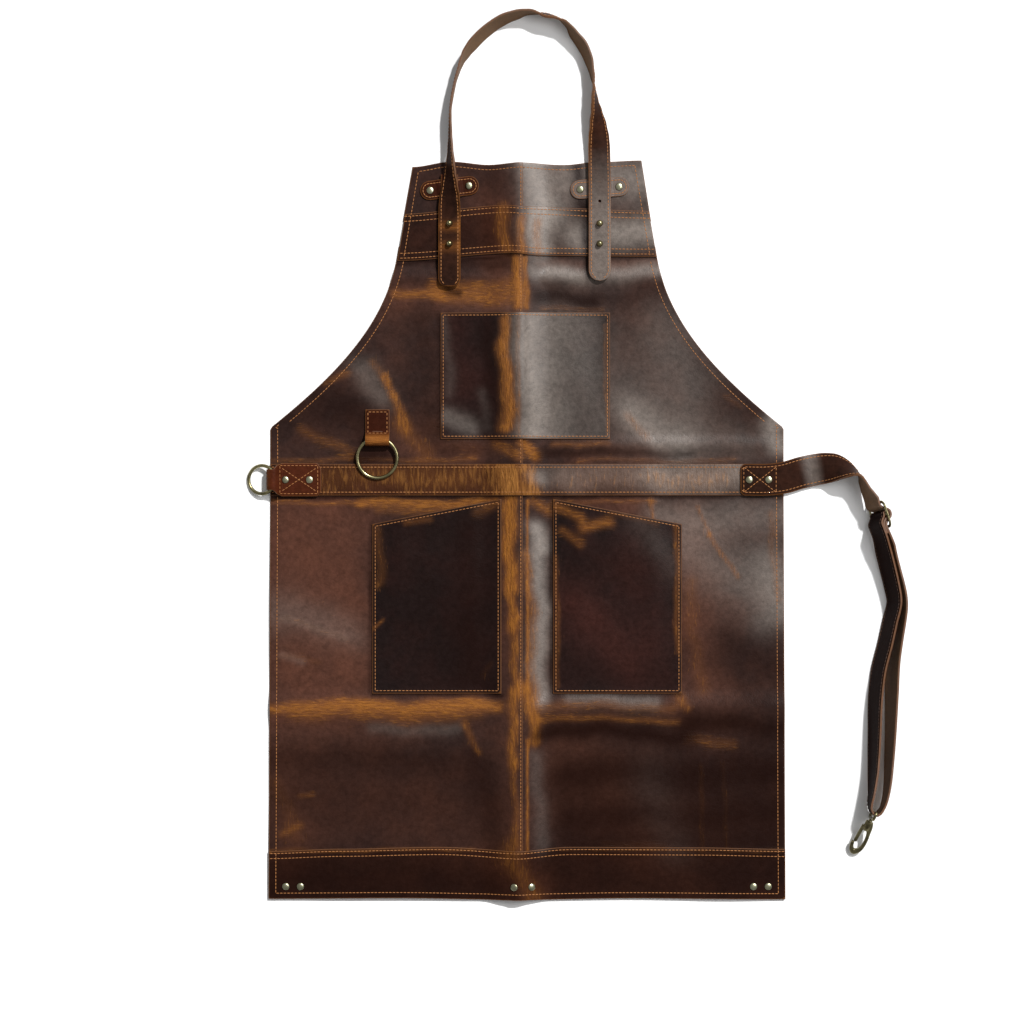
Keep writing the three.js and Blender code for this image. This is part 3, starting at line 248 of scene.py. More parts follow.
# Colour of the leather by place, drawn as soft strokes. Columns: start x, y, end x, y, half width, strength.
# Pulled: the oils have moved away at a bend and the leather is golden there, in fine lines along the stroke.
PULLED = [
    # bib and chest
    (-30, 312, -22, 264, 9, 0.55), (-7, 366, -6, 318, 3, 0.3), (-6, 300, -4, 262, 6, 0.7), (12, 300, 14, 262, 7, 0.5),
    (-152, 214, -100, 212, 7, 0.6), (-100, 215, -16, 212, 12, 0.6), (-110, 224, -20, 228, 8, 0.45),
    (-12, 254, -11, 200, 6, 0.85), (-2, 256, -1, 198, 4, 0.7), (-180, 138, -160, 112, 6, 0.4),
    (-165, 121, -152, 98, 4, 0.7), (-152, 98, -138, 62, 7, 0.6), (-146, 66, -120, 34, 14, 0.4),
    (-232, 110, -206, 122, 6, 0.45), (-262, 60, -205, 29, 8, 0.4), (-100, 62, -64, 32, 16, 0.2),
    (-33, 40, -8, 26, 9, 0.55), (-3, 44, 12, 30, 8, 0.8), (30, 42, 92, 40, 5, 0.45), (16, 198, 88, 198, 4, 0.35),
    (116, 76, 138, 50, 7, 0.4), (228, 96, 246, 84, 5, 0.3), (-296, 23, -60, 23, 4, 0.4), (60, 23, 240, 22, 4, 0.35),
    # skirt
    (-296, -25, -190, -27, 4, 0.5), (-190, -27, -40, -26, 7, 0.75), (-170, -38, -60, -36, 7, 0.4),
    (-22, -20, -17, -125, 9, 0.95), (-22, -120, -17, -170, 6, 0.8), (-14, -160, -12, -245, 7, 0.6),
    (4, -22, 26, -36, 9, 0.55), (30, -24, 150, -26, 4, 0.4), (144, -22, 147, -46, 3, 0.6),
    (198, -30, 212, -62, 3, 0.5), (212, -62, 243, -112, 4, 0.5), (2, -90, 10, -250, 8, 0.45),
    (188, -120, 200, -245, 12, 0.3), (282, -40, 290, -140, 6, 0.35), (-283, -160, -212, -184, 5, 0.25), (-283, -202, -240, -212, 5, 0.25), (-270, -130, -230, -150, 6, 0.15),
    (-298, -262, -190, -262, 8, 0.65), (-190, -261, -36, -262, 9, 0.75), (-270, -270, -60, -272, 12, 0.45),
    (-72, -284, -54, -318, 5, 0.5), (-18, -244, -14, -330, 7, 0.7), (-16, -330, -13, -425, 6, 0.5),
    (-2, -238, 10, -300, 8, 0.8), (10, -262, 172, -262, 8, 0.4), (12, -276, 176, -279, 5, 0.55),
    (172, -244, 188, -266, 6, 0.5), (190, -298, 242, -310, 8, 0.45), (200, -330, 204, -426, 4, 0.35),
    (226, -330, 232, -426, 4, 0.3), (-290, -350, -270, -415, 14, 0.3), (-262, -366, -246, -362, 4, 0.5),
    (-285, -412, -262, -400, 5, 0.45), (0, -428, 1, -300, 2, 0.8), (0, -24, 1, -240, 2, 0.7), (86, -420, 160, -424, 5, 0.3),
    # hem band
    (-20, -430, 6, -480, 16, 0.5), (-298, -430, -60, -427, 3, 0.5), (40, -428, 296, -430, 3, 0.45),
]
# Painted sheen: grey reflections of the light on the slopes that face it, drawn into the colour
PAINTED_SHEEN = [
    (6, 362, 20, 306, 20, 0.95), (10, 306, 16, 268, 15, 0.95), (50, 350, 130, 345, 26, 0.6),
    (60, 285, 140, 284, 18, 0.75), (10, 238, 150, 240, 10, 0.5), (28, 240, 60, 238, 8, 0.5),
    (-190, 130, -166, 96, 14, 0.26), (-80, 75, -60, 60, 9, 0.35), (30, 170, 150, 70, 60, 0.18), (160, 170, 190, 110, 34, 0.2),
    (122, 80, 176, 44, 22, 0.55), (118, 78, 146, 42, 9, 0.4), (284, 70, 292, 40, 12, 0.7), (200, 52, 250, 40, 26, 0.2),
    (8, -56, 20, -80, 9, 0.8), (14, -90, 16, -250, 10, 0.6), (160, -44, 292, -44, 22, 0.3),
    (190, -80, 280, -130, 36, 0.28), (280, -100, 288, -150, 22, 0.4), (-296, -150, -210, -175, 22, 0.16),
    (-283, -160, -212, -184, 4, 0.14), (-283, -202, -258, -212, 4, 0.14), (-180, -288, -80, -288, 7, 0.14),
    (12, -318, 16, -425, 9, 0.16), (50, -252, 150, -256, 8, 0.3),
    (140, -345, 170, -420, 24, 0.12),
]
# Painted shade: shadows cast beside the right neck strap, round the tool ring and under the edges of the belt, the
# bib band and the pockets, and leather turned away from the light, drawn darker in the colour
PAINTED_SHADE = [
    (60, 362, 62, 320, 9, 0.95), (64, 320, 68, 280, 6, 0.9), (68, 280, 72, 236, 4, 0.8), (-92, 220, -80, 217, 5, 0.9),
    (-110, 340, -104, 330, 5, 0.6), (-292, -20, 296, -20, 2.4, 0.85), (28.4, -26, 28.4, -246, 2, 0.8),
    (-180.6, -52, -180.6, -246, 2, 0.7), (-178, -249, -30, -249, 2, 0.8), (30, -249, 178, -249, 2, 0.6),
    (-101.6, 48, -101.6, 190, 2, 0.6), (-98, 46, 94, 46, 2, 0.5), (-150, 250, -20, 259, 2.4, 0.85),
    (-20, 259, 150, 256, 2.4, 0.7), (-296, 19, 296, 19, 1.6, 0.3), (-130, 345, -20, 345, 26, 0.15), (-90, 284, -44, 282, 16, 0.3), (-78, 250, -22, 250, 8, 0.55),
    (10, 211, 76, 209, 10, 0.9), (80, 208, 150, 214, 10, 0.35), (16, 31, 190, 30, 6, 0.6), (-60, 150, -56, 60, 16, 0.3),
    (-280, 80, -200, 70, 26, 0.4), (-240, 98, -195, 78, 22, 0.45), (-120, 180, -112, 90, 22, 0.35),
    (200, 120, 250, 70, 26, 0.35), (16, -290, 190, -296, 13, 0.95), (190, -282, 296, -290, 18, 0.8),
    (250, -250, 296, -256, 14, 0.4), (240, -190, 296, -220, 24, 0.55), (170, -190, 240, -225, 20, 0.3),
    (50, -340, 290, -340, 34, 0.93), (50, -390, 290, -390, 34, 0.93), (50, -420, 290, -420, 16, 0.75),
    (-60, -340, -32, -420, 18, 0.45), (-290, -320, -60, -325, 20, 0.55), (-280, -370, -60, -370, 50, 0.55),
    (-290, -460, 290, -460, 40, 0.6), (-110, 56, -40, 50, 20, 0.45),
    (-194, 22, -170, 28, 12, 0.8), (-190, 30, -186, 60, 9, 0.4),
    (-280, -470, -60, -470, 30, 0.3),
]
# Reddened: a warmer brown
REDDENED = [
    (-270, -60, -260, -240, 50, 0.75), (-220, -40, -200, -240, 40, 0.65), (-296, -270, -60, -262, 14, 0.6),
    (-280, -330, -270, -420, 30, 0.5), (-230, -350, -60, -400, 50, 0.35), (20, 248, 150, 250, 8, 0.5),
    (-140, 210, -30, 210, 20, 0.5), (190, -60, 200, -240, 34, 0.55), (60, -340, 150, -410, 55, 0.6),
    (140, -50, 150, -160, 30, 0.3), (-150, 45, -60, 35, 26, 0.4), (60, -28, 130, -32, 14, 0.5),
    (-30, 250, -26, 200, 24, 0.5), (-40, 310, -22, 265, 26, 0.5), (-30, -440, 10, -470, 24, 0.7),
    (60, 30, 150, 30, 14, 0.4), (-26, -30, -20, -420, 14, 0.3),
]
POCKET_PULLED = [
    (-25, 186, -20, 60, 7, 0.85), (-30, 160, -28, 60, 8, 0.4), (-10, 190, -9, 52, 3, 0.4), (90, 180, 93, 54, 3, 0.4),
    (32, -30, 60, -40, 8, 0.55), (62, -52, 94, -50, 8, 0.6), (38, -58, 62, -72, 7, 0.45), (100, -38, 150, -52, 5, 0.3),
    (-36, -28, -56, -38, 9, 0.4), (-140, -50, -110, -46, 5, 0.45), (-178, -172, -166, -162, 3, 0.5),
    (172, -52, 174, -200, 4, 0.45), (34, -90, 36, -240, 4, 0.4), (-176, -60, -168, -120, 8, 0.35),
    (-52, -228, -40, -210, 5, 0.2),
]
# Painted sheen on the pockets: grey reflections of the light drawn into the colour
POCKET_PAINTED_SHEEN = [
    (-92, 74, -60, 56, 9, 0.35), (-52, 100, -44, 60, 6, 0.12), (2, 182, 8, 60, 18, 0.8), (28, 180, 34, 60, 24, 0.4),
    (60, 180, 84, 60, 28, 0.25), (-96, 186, -90, 100, 7, 0.1), (130, -52, 165, -100, 18, 0.07),
]
# Painted shade on the pockets, drawn darker in the colour
POCKET_PAINTED_SHADE = [
    (-44, 180, -44, 60, 11, 0.5), (-120, -70, -100, -230, 50, 0.3), (-60, -60, -60, -230, 26, 0.6),
    (40, -220, 160, -230, 20, 0.2), (80, -90, 140, -110, 30, 0.2),
]
POCKET_REDDENED = [(60, -150, 110, -200, 40, 0.7), (120, -80, 150, -200, 30, 0.3), (-90, 180, -80, 80, 30, 0.3)]
BELT_PULLED = [
    (-22, 12, -22, -12, 20, 1.0), (4, 12, 4, -12, 12, 0.7), (-232, 2, -50, 2, 22, 0.5), (-150, 4, -60, 4, 12, 0.25),
    (50, 0, 236, 0, 22, 0.3), (150, 3, 220, 3, 12, 0.25),
]
# Painted sheen on the belt: grey reflections of the light on its right half
BELT_PAINTED_SHEEN = [(8, 4, 14, 4, 8, 0.5), (20, 6, 40, 6, 16, 0.25), (60, 4, 150, 4, 20, 0.3), (150, 4, 240, 4, 20, 0.6)]
# Painted shade on the belt: darker towards its left end and along its lower edge
BELT_PAINTED_SHADE = [(-232, 0, -60, 0, 20, 0.35), (-52, 0, -44, 0, 10, 0.3), (60, -14, 140, -14, 6, 0.2)]
BELT_REDDENED = [(-230, 0, -60, 0, 20, 0.5), (50, 0, 140, 0, 24, 0.4)]

BODY_COLOURS = {"pulled": PULLED, "painted_sheen": PAINTED_SHEEN, "painted_shade": PAINTED_SHADE, "reddened": REDDENED}
POCKET_COLOURS = {
    "pulled": POCKET_PULLED, "painted_sheen": POCKET_PAINTED_SHEEN, "painted_shade": POCKET_PAINTED_SHADE, "reddened": POCKET_REDDENED,
}
BELT_COLOURS = {
    "pulled": BELT_PULLED, "painted_sheen": BELT_PAINTED_SHEEN, "painted_shade": BELT_PAINTED_SHADE, "reddened": BELT_REDDENED,
}


def strokes(rows, x, y):
    """How much of a colour there is at each place, and how far its strokes run up and down, from 0 to 1."""
    wander_x = 0.3 * np.sin(y / 19 + x / 47) + 0.15 * np.sin(y / 7.3)
    wander_y = 0.3 * np.sin(x / 23 + y / 53) + 0.15 * np.sin(x / 8.1)
    bare, upright, total = np.ones_like(x), np.full_like(x, 1e-4), np.full_like(x, 2e-4)
    for x0, y0, x1, y1, half, strength in rows:
        dx, dy = x1 - x0, y1 - y0
        from_x, from_y = x + min(half, 10) * wander_x - x0, y + min(half, 10) * wander_y - y0
        share = np.clip((from_x * dx + from_y * dy) / (dx * dx + dy * dy), 0, 1)
        away = (from_x - share * dx) ** 2 + (from_y - share * dy) ** 2
        amount = strength * np.exp(-away / half ** 2)
        bare *= 1 - amount
        total += amount
        upright += amount * (abs(dy) > abs(dx))
    return 1 - bare, upright / total


# Materials
def linear(hex_colour):
    """An sRGB hex value as linear red, green, blue and alpha."""
    channels = [int(hex_colour[k:k + 2], 16) / 255 for k in (1, 3, 5)]
    return tuple(c / 12.92 if c <= 0.04045 else ((c + 0.055) / 1.055) ** 2.4 for c in channels) + (1.0,)


def add_node(tree, kind, inputs=None, **settings):
    """Adds a node with its settings and with values or links on its inputs."""
    made = tree.nodes.new(kind)
    for name, value in settings.items():
        setattr(made, name, value)
    for key, value in (inputs or {}).items():
        if isinstance(value, bpy.types.NodeSocket):
            tree.links.new(value, made.inputs[key])
        else:
            made.inputs[key].default_value = value
    return made


def new_material(name):
    material = bpy.data.materials.new(name)
    material.use_nodes = True
    tree = material.node_tree
    tree.nodes.clear()
    shader = add_node(tree, "ShaderNodeBsdfPrincipled")
    add_node(tree, "ShaderNodeOutputMaterial", {"Surface": shader.outputs["BSDF"]})
    return material, tree, shader


def pull_up_leather(name, deep, warm, pulled, relief=0.8, line_size=0.0024, spread=0.8, least_shine=0.035,
                    coordinates="Object"):
    """Waxed pull-up cowhide: dark where the oils lie, golden in fine lines where a bend has moved them, with
    painted shade that darkens it towards black and a painted grey sheen for light glancing off. It has a pebbled
    grain of 1.6 mm, creases about 3 mm apart and a half-matt shine."""
    material, tree, shader = new_material(name)
    place = add_node(tree, "ShaderNodeTexCoord").outputs[coordinates]
    amounts = {}
    for kind in ("pulled", "painted_sheen", "painted_shade", "reddened", "edge", "upright"):
        amounts[kind] = add_node(tree, "ShaderNodeAttribute", attribute_name=kind).outputs["Fac"]
    cloud = add_node(tree, "ShaderNodeTexNoise", {
        "Vector": place, "Scale": 1 / 0.05, "Detail": 5, "Roughness": 0.6}).outputs["Fac"]
    mottle = add_node(tree, "ShaderNodeTexNoise", {
        "Vector": place, "Scale": 1 / 0.006, "Detail": 6, "Roughness": 0.66, "Distortion": 0.3}).outputs["Fac"]
    lines = []
    for scale in ((0.2, 1, 1), (1, 0.2, 1)):
        stretched = add_node(tree, "ShaderNodeMapping", {"Vector": place, "Scale": scale}).outputs["Vector"]
        lines.append(add_node(tree, "ShaderNodeTexNoise", {
            "Vector": stretched, "Scale": 1 / line_size, "Detail": 4, "Roughness": 0.62, "Distortion": 0.5,
        }).outputs["Fac"])
    line = add_node(tree, "ShaderNodeMix", {0: amounts["upright"], 2: lines[0], 3: lines[1]}).outputs[0]
    line = add_node(tree, "ShaderNodeMapRange", {"Value": line, "From Min": 0.3, "From Max": 0.7}).outputs["Result"]
    grain = add_node(tree, "ShaderNodeTexVoronoi", {
        "Vector": place, "Scale": 1 / 0.0016, "Randomness": 0.9}, feature="SMOOTH_F1").outputs["Distance"]

    warmth = add_node(tree, "ShaderNodeMapRange", {
        "Value": cloud, "From Min": 0.4, "From Max": 0.7, "To Min": 0.0, "To Max": 0.35}).outputs["Result"]
    warmth = add_node(tree, "ShaderNodeMath", {0: warmth, 1: amounts["reddened"]}, operation="ADD",
                      use_clamp=True).outputs[0]
    colour = add_node(tree, "ShaderNodeMix", {0: warmth, 6: linear(deep), 7: linear(warm)},
                      data_type="RGBA").outputs[2]
    speckle = add_node(tree, "ShaderNodeMapRange", {
        "Value": mottle, "From Min": 0.3, "From Max": 0.7, "To Min": 0.74, "To Max": 1.26}).outputs["Result"]
    # Painted sheen: a grey standing in for light glancing off the leather
    grey = add_node(tree, "ShaderNodeMath", {0: amounts["painted_sheen"], 1: 0.85}, operation="MULTIPLY").outputs[0]
    colour = add_node(tree, "ShaderNodeMix", {0: grey, 6: colour, 7: linear("#827870")}, data_type="RGBA").outputs[2]
    colour = add_node(tree, "ShaderNodeVectorMath", {0: colour, "Scale": speckle}, operation="SCALE").outputs[0]
    soft = add_node(tree, "ShaderNodeMapRange", {
        "Value": amounts["pulled"], "From Min": 0.05, "To Max": spread,
    }, interpolation_type="SMOOTHSTEP").outputs["Result"]
    colour = add_node(tree, "ShaderNodeMix", {0: soft, 6: colour, 7: linear("#7a4a22")}, data_type="RGBA").outputs[2]
    low = add_node(tree, "ShaderNodeMath", {0: 0.95, 1: amounts["pulled"]}, operation="SUBTRACT").outputs[0]
    high = add_node(tree, "ShaderNodeMath", {0: low, 1: 1.3}, operation="ADD").outputs[0]
    fine = add_node(tree, "ShaderNodeMapRange", {
        "Value": line, "From Min": low, "From Max": high, "To Max": 0.75}).outputs["Result"]
    colour = add_node(tree, "ShaderNodeMix", {0: fine, 6: colour, 7: linear(pulled)}, data_type="RGBA").outputs[2]
    # Painted shade: near-black mixed in where the leather is shaded
    shade_share = add_node(tree, "ShaderNodeMath", {0: amounts["painted_shade"], 1: 0.92}, operation="MULTIPLY").outputs[0]
    colour = add_node(tree, "ShaderNodeMix", {0: shade_share, 6: colour, 7: linear("#160704")}, data_type="RGBA").outputs[2]
    rubbed = add_node(tree, "ShaderNodeMapRange", {
        "Value": amounts["edge"], "From Min": 1.3, "From Max": 0.2, "To Min": 0.0, "To Max": 0.5}).outputs["Result"]
    colour = add_node(tree, "ShaderNodeMix", {0: rubbed, 6: colour, 7: linear("#754820")}, data_type="RGBA").outputs[2]

    gloss = add_node(tree, "ShaderNodeMapRange", {
        "Value": mottle, "From Min": 0.3, "From Max": 0.7, "To Min": 0.33, "To Max": 0.46}).outputs["Result"]
    shine = add_node(tree, "ShaderNodeMapRange", {
        "Value": amounts["painted_sheen"], "To Min": least_shine, "To Max": 0.4}).outputs["Result"]
    uneven = add_node(tree, "ShaderNodeMath", {0: mottle, 1: 0.25}, operation="MULTIPLY").outputs[0]
    height = add_node(tree, "ShaderNodeMath", {
        0: line, 1: amounts["pulled"], 2: uneven}, operation="MULTIPLY_ADD").outputs[0]
    creases = add_node(tree, "ShaderNodeBump", {
        "Height": height, "Strength": relief, "Distance": 0.0012}).outputs["Normal"]
    pebbles = add_node(tree, "ShaderNodeBump", {
        "Height": grain, "Strength": 0.4, "Distance": 0.0003, "Normal": creases}).outputs["Normal"]
    tree.links.new(colour, shader.inputs["Base Color"])
    tree.links.new(gloss, shader.inputs["Roughness"])
    tree.links.new(shine, shader.inputs["Specular IOR Level"])
    tree.links.new(pebbles, shader.inputs["Normal"])
    shader.inputs["IOR"].default_value = 1.48
    return material


def cut_edge_leather():
    """Bare cut edge of vegetable-dyed hide: golden tan, slightly fibrous and burnished."""
    material, tree, shader = new_material("cut_leather_edge")
    place = add_node(tree, "ShaderNodeTexCoord").outputs["Object"]
    fibre = add_node(tree, "ShaderNodeTexNoise", {"Vector": place, "Scale": 1 / 0.003, "Detail": 3}).outputs["Fac"]
    colour = add_node(tree, "ShaderNodeMix", {0: fibre, 6: linear("#3a200e"), 7: linear("#6e4420")},
                      data_type="RGBA").outputs[2]
    relief = add_node(tree, "ShaderNodeBump", {"Height": fibre, "Strength": 0.3, "Distance": 0.0003})
    tree.links.new(colour, shader.inputs["Base Color"])
    tree.links.new(relief.outputs["Normal"], shader.inputs["Normal"])
    shader.inputs["Roughness"].default_value = 0.6
    return material


def flesh_side_leather():
    """Suede-like back of the hide: matt brown with a short nap."""
    material, tree, shader = new_material("leather_flesh_side")
    place = add_node(tree, "ShaderNodeTexCoord").outputs["Object"]
    nap = add_node(tree, "ShaderNodeTexNoise", {
        "Vector": place, "Scale": 1 / 0.0025, "Detail": 5, "Roughness": 0.7}).outputs["Fac"]
    colour = add_node(tree, "ShaderNodeMix", {0: nap, 6: linear("#3a2614"), 7: linear("#7a5630")},
                      data_type="RGBA").outputs[2]
    relief = add_node(tree, "ShaderNodeBump", {"Height": nap, "Strength": 0.5, "Distance": 0.0004})
    tree.links.new(colour, shader.inputs["Base Color"])
    tree.links.new(relief.outputs["Normal"], shader.inputs["Normal"])
    shader.inputs["Roughness"].default_value = 0.85
    return material


def waxed_thread(name, dirty, clean):
    """Waxed polyester sewing thread with lighter and dirtier stretches."""
    material, tree, shader = new_material(name)
    place = add_node(tree, "ShaderNodeTexCoord").outputs["Object"]
    dirt = add_node(tree, "ShaderNodeTexNoise", {"Vector": place, "Scale": 1 / 0.02, "Detail": 3}).outputs["Fac"]
    colour = add_node(tree, "ShaderNodeMix", {0: dirt, 6: linear(dirty), 7: linear(clean)},
                      data_type="RGBA").outputs[2]
    tree.links.new(colour, shader.inputs["Base Color"])
    shader.inputs["Roughness"].default_value = 0.6
    return material


def antique_brass(name, bright, patina, roughness):
    """Plated antique brass: worn bright on top, brown-green patina in the hollows."""
    material, tree, shader = new_material(name)
    place = add_node(tree, "ShaderNodeTexCoord").outputs["Object"]
    tarnish = add_node(tree, "ShaderNodeTexNoise", {
        "Vector": place, "Scale": 1 / 0.012, "Detail": 4, "Roughness": 0.6}).outputs["Fac"]
    share = add_node(tree, "ShaderNodeMapRange", {
        "Value": tarnish, "From Min": 0.35, "From Max": 0.68}).outputs["Result"]
    colour = add_node(tree, "ShaderNodeMix", {0: share, 6: linear(bright), 7: linear(patina)},
                      data_type="RGBA").outputs[2]
    finish = add_node(tree, "ShaderNodeMapRange", {
        "Value": tarnish, "From Min": 0.3, "From Max": 0.7, "To Min": roughness - 0.04, "To Max": roughness + 0.08,
    }).outputs["Result"]
    tree.links.new(colour, shader.inputs["Base Color"])
    tree.links.new(finish, shader.inputs["Roughness"])
    shader.inputs["Metallic"].default_value = 1.0
    return material


body_leather = pull_up_leather("pull_up_cowhide_body", "#2b1e1b", "#4e3025", "#a86c28")
band_leather = pull_up_leather("pull_up_cowhide_band", "#20120e", "#42251a", "#a86c28")
pocket_leather = pull_up_leather("pull_up_cowhide_pocket", "#1b1312", "#321b17", "#a2682a")
belt_leather = pull_up_leather("pull_up_cowhide_belt", "#22120c", "#44261a", "#bb8040", 1.0, 0.0034, 0.5)
tab_leather = pull_up_leather("pull_up_cowhide_tab", "#2a140c", "#481f10", "#a0642a")
strap_leather = pull_up_leather("pull_up_cowhide_strap", "#241611", "#46271a", "#a0642a", least_shine=0.008,
                                coordinates="UV")
cut_edge = cut_edge_leather()
flesh_side = flesh_side_leather()
thread = waxed_thread("waxed_thread_tan", "#7c4a20", "#b47840")
# A darker copy of the thread with painted shade, for the strap strands turned away from the light
shaded_thread = waxed_thread("waxed_thread_shaded", "#2e180c", "#5a3418")
brass = antique_brass("antique_brass", "#a39a72", "#57523a", 0.3)
dark_brass = antique_brass("dark_antique_brass", "#8f8764", "#463f2c", 0.3)
rivet_brass = antique_brass("antique_nickel_brass", "#b9b79a", "#77755c", 0.3)


# Building pieces
def finish_piece(bm, name, materials, body, nodes=()):
    """Puts a drawn mesh in the part's frame as an object at the origin, riding on its body."""
    for vert in bm.verts:
        vert.co = at(*vert.co)
    mesh = bpy.data.meshes.new(name)
    bm.to_mesh(mesh)
    bm.free()
    for material in materials:
        mesh.materials.append(material)
    mesh.shade_smooth()
    piece = bpy.data.objects.new(name, mesh)
    bpy.context.scene.collection.objects.link(piece)
    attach(piece, body)
    if nodes:
        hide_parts(*nodes)
    return piece


def thicken(piece, thickness, bevel=0.35):
    """The hide's thickness behind the grain side, with its cut edge rounded over."""
    wall = piece.modifiers.new("hide", "SOLIDIFY")
    wall.thickness = thickness * MM
    wall.offset = -1
    wall.material_offset = 2
    wall.material_offset_rim = 1
    wall.use_quality_normals = True
    rounding = piece.modifiers.new("edge", "BEVEL")
    rounding.width = bevel * MM
    rounding.segments = 2
    rounding.limit_method = "ANGLE"
    rounding.angle_limit = math.radians(50)
    rounding.material = 1


def drawn_places(mesh):
    places = np.empty(len(mesh.vertices) * 3)
    mesh.vertices.foreach_get("co", places)
    places = places.reshape(-1, 3)
    return (places[:, 0] - BELT_MIDDLE.x) / MM, (places[:, 1] - BELT_MIDDLE.y) / MM


def paint(piece, colours, wrinkles=None):
    """Writes the colours' amounts to the mesh. wrinkles 1 makes all fine lines run up and down."""
    x, y = drawn_places(piece.data)
    for kind, rows in colours.items():
        amount, upright = strokes(rows, x, y)
        layers = {kind: amount}
        if kind == "pulled":
            layers["upright"] = upright if wrinkles is None else np.full_like(x, wrinkles)
        for name, values in layers.items():
            layer = piece.data.attributes.new(name, "FLOAT", "POINT")
            layer.data.foreach_set("value", values.astype(np.float32))


def sheet_grid(left, right, low, high, spacing=GRID):
    """A grid stretched between four edges, with each point's distance from the nearest edge."""
    middle = (left(lerp(low(0), high(0), 0.5)) + right(lerp(low(0), high(0), 0.5))) / 2
    bottom, top = low(middle), high(middle)
    rows = max(2, round((top - bottom) / spacing))
    width = max(right(lerp(bottom, top, k / 8)) - left(lerp(bottom, top, k / 8)) for k in range(9))
    columns = max(2, round(width / spacing))
    bm = bmesh.new()
    bmesh.ops.create_grid(bm, x_segments=columns, y_segments=rows, size=0.5)
    edge = bm.verts.layers.float.new("edge")
    for vert in bm.verts:
        u, v = vert.co.x + 0.5, vert.co.y + 0.5
        y = lerp(bottom, top, v)
        x0, x1 = left(y), right(y)
        x = lerp(x0, x1, u)
        y0, y1 = low(x), high(x)
        y = lerp(y0, y1, v)
        vert.co = (x, y, 0)
        vert[edge] = min(x - x0, x1 - x, y - y0, y1 - y)
    return bm


def leather_piece(node, shape, lift, materials, colours, spacing=GRID, wrinkles=None):
    """A sewn leather piece of the apron: cut flat to its outline, then laid on the drape at its lift."""
    bm = sheet_grid(*shape, spacing)
    area = sum(face.calc_area() for face in bm.faces)
    for vert in bm.verts:
        x, y, _ = vert.co
        vert.co.z = drape(x, y) + lift(x, y) + LEATHER
    piece = finish_piece(bm, f"{node}_leather", materials, "apron", [node])
    paint(piece, colours, wrinkles)
    thicken(piece, LEATHER)
    return piece


BODY = [body_leather, cut_edge, flesh_side]
BAND = [band_leather, cut_edge, flesh_side]
POCKET = [pocket_leather, cut_edge, flesh_side]
BELT = [belt_leather, cut_edge, flesh_side]
TAB = [tab_leather, cut_edge, flesh_side]
STRAP = [strap_leather, cut_edge, flesh_side]

left_outline = lambda y: -half_width(y)
right_outline = lambda y: half_width(y)
constant = lambda value: lambda _: value


def make_panels():
    sides = {
        "left": (left_outline, constant(SEAM_X), lapped_lift),
        "right": (constant(CREST_X), right_outline, flat_lift),
    }
    for side, (left, right, lift) in sides.items():
        leather_piece(f"skirt_{side}", (left, right, hem_bottom, constant(-GAP / 2)), lift, BODY,
                      BODY_COLOURS)
        leather_piece(f"chest_{side}", (left, right, constant(GAP / 2), constant(CHEST_TOP + BAND_LAP)), lift, BODY,
                      BODY_COLOURS)
        leather_piece(f"top_band_{side}", (left, right, constant(BAND_TOP - BAND_LAP), bib_top), lift, BODY,
                      BODY_COLOURS)


def make_bands():
    outline = (left_outline, right_outline)
    leather_piece("bib_band", (*outline, band_bottom, band_top), band_lift, BAND, BODY_COLOURS,
                  2.8)
    leather_piece("hem_band", (*outline, hem_bottom, hem_top), band_lift, BAND, BODY_COLOURS)
    leather_piece("waist_belt", (*outline, constant(-BELT_WIDTH / 2), constant(BELT_WIDTH / 2)), band_lift, BELT,
                  BELT_COLOURS, 2.8, 1.0)


def skirt_pocket_edges(side):
    inner, outer = side * SKIRT_POCKET_INSET, side * (SKIRT_POCKET_INSET + SKIRT_POCKET_WIDTH)
    mouth = lambda x: SKIRT_POCKET_TOP - SKIRT_POCKET_SLANT * clamp01((x - inner) / (outer - inner))
    return min(inner, outer), max(inner, outer), mouth


POCKET_LOW = SKIRT_POCKET_TOP - SKIRT_POCKET_DEPTH
CHEST_POCKET_LEFT = CHEST_POCKET_X - CHEST_POCKET_WIDTH / 2
CHEST_POCKET_RIGHT = CHEST_POCKET_X + CHEST_POCKET_WIDTH / 2
CHEST_POCKET_TOP = CHEST_POCKET_BOTTOM + CHEST_POCKET_HEIGHT
SIDES = {"left": -1, "right": 1}


def pocket_lifts():
    lifts = {"chest": pocket_lift(CHEST_POCKET_LEFT, CHEST_POCKET_RIGHT, CHEST_POCKET_BOTTOM, CHEST_POCKET_TOP)}
    for name, side in SIDES.items():
        x0, x1, _ = skirt_pocket_edges(side)
        lifts[name] = pocket_lift(x0, x1, POCKET_LOW, SKIRT_POCKET_TOP)
    return lifts


LIFTS = pocket_lifts()


def make_pockets():
    for name, side in SIDES.items():
        x0, x1, mouth = skirt_pocket_edges(side)
        leather_piece(f"pocket_{name}", (constant(x0), constant(x1), constant(POCKET_LOW), mouth), LIFTS[name],
                      POCKET, POCKET_COLOURS)
    shape = (constant(CHEST_POCKET_LEFT), constant(CHEST_POCKET_RIGHT), constant(CHEST_POCKET_BOTTOM),
             constant(CHEST_POCKET_TOP))
    leather_piece("chest_pocket", shape, LIFTS["chest"], POCKET, POCKET_COLOURS)


# Sewing: each stitch is a short stretch of thread that dips into the leather at both ends
def make_stitch():
    bm = bmesh.new()
    bmesh.ops.create_uvsphere(bm, u_segments=6, v_segments=5, radius=0.5)
    bmesh.ops.rotate(bm, verts=bm.verts, matrix=Matrix.Rotation(math.pi / 2, 3, "Y"))
    bmesh.ops.scale(bm, verts=bm.verts, vec=(STITCH_LENGTH, THREAD_WIDTH, 0.8 * THREAD_WIDTH))
    mesh = bpy.data.meshes.new("stitch")
    bm.to_mesh(mesh)
    bm.free()
    return mesh


STITCH = make_stitch()


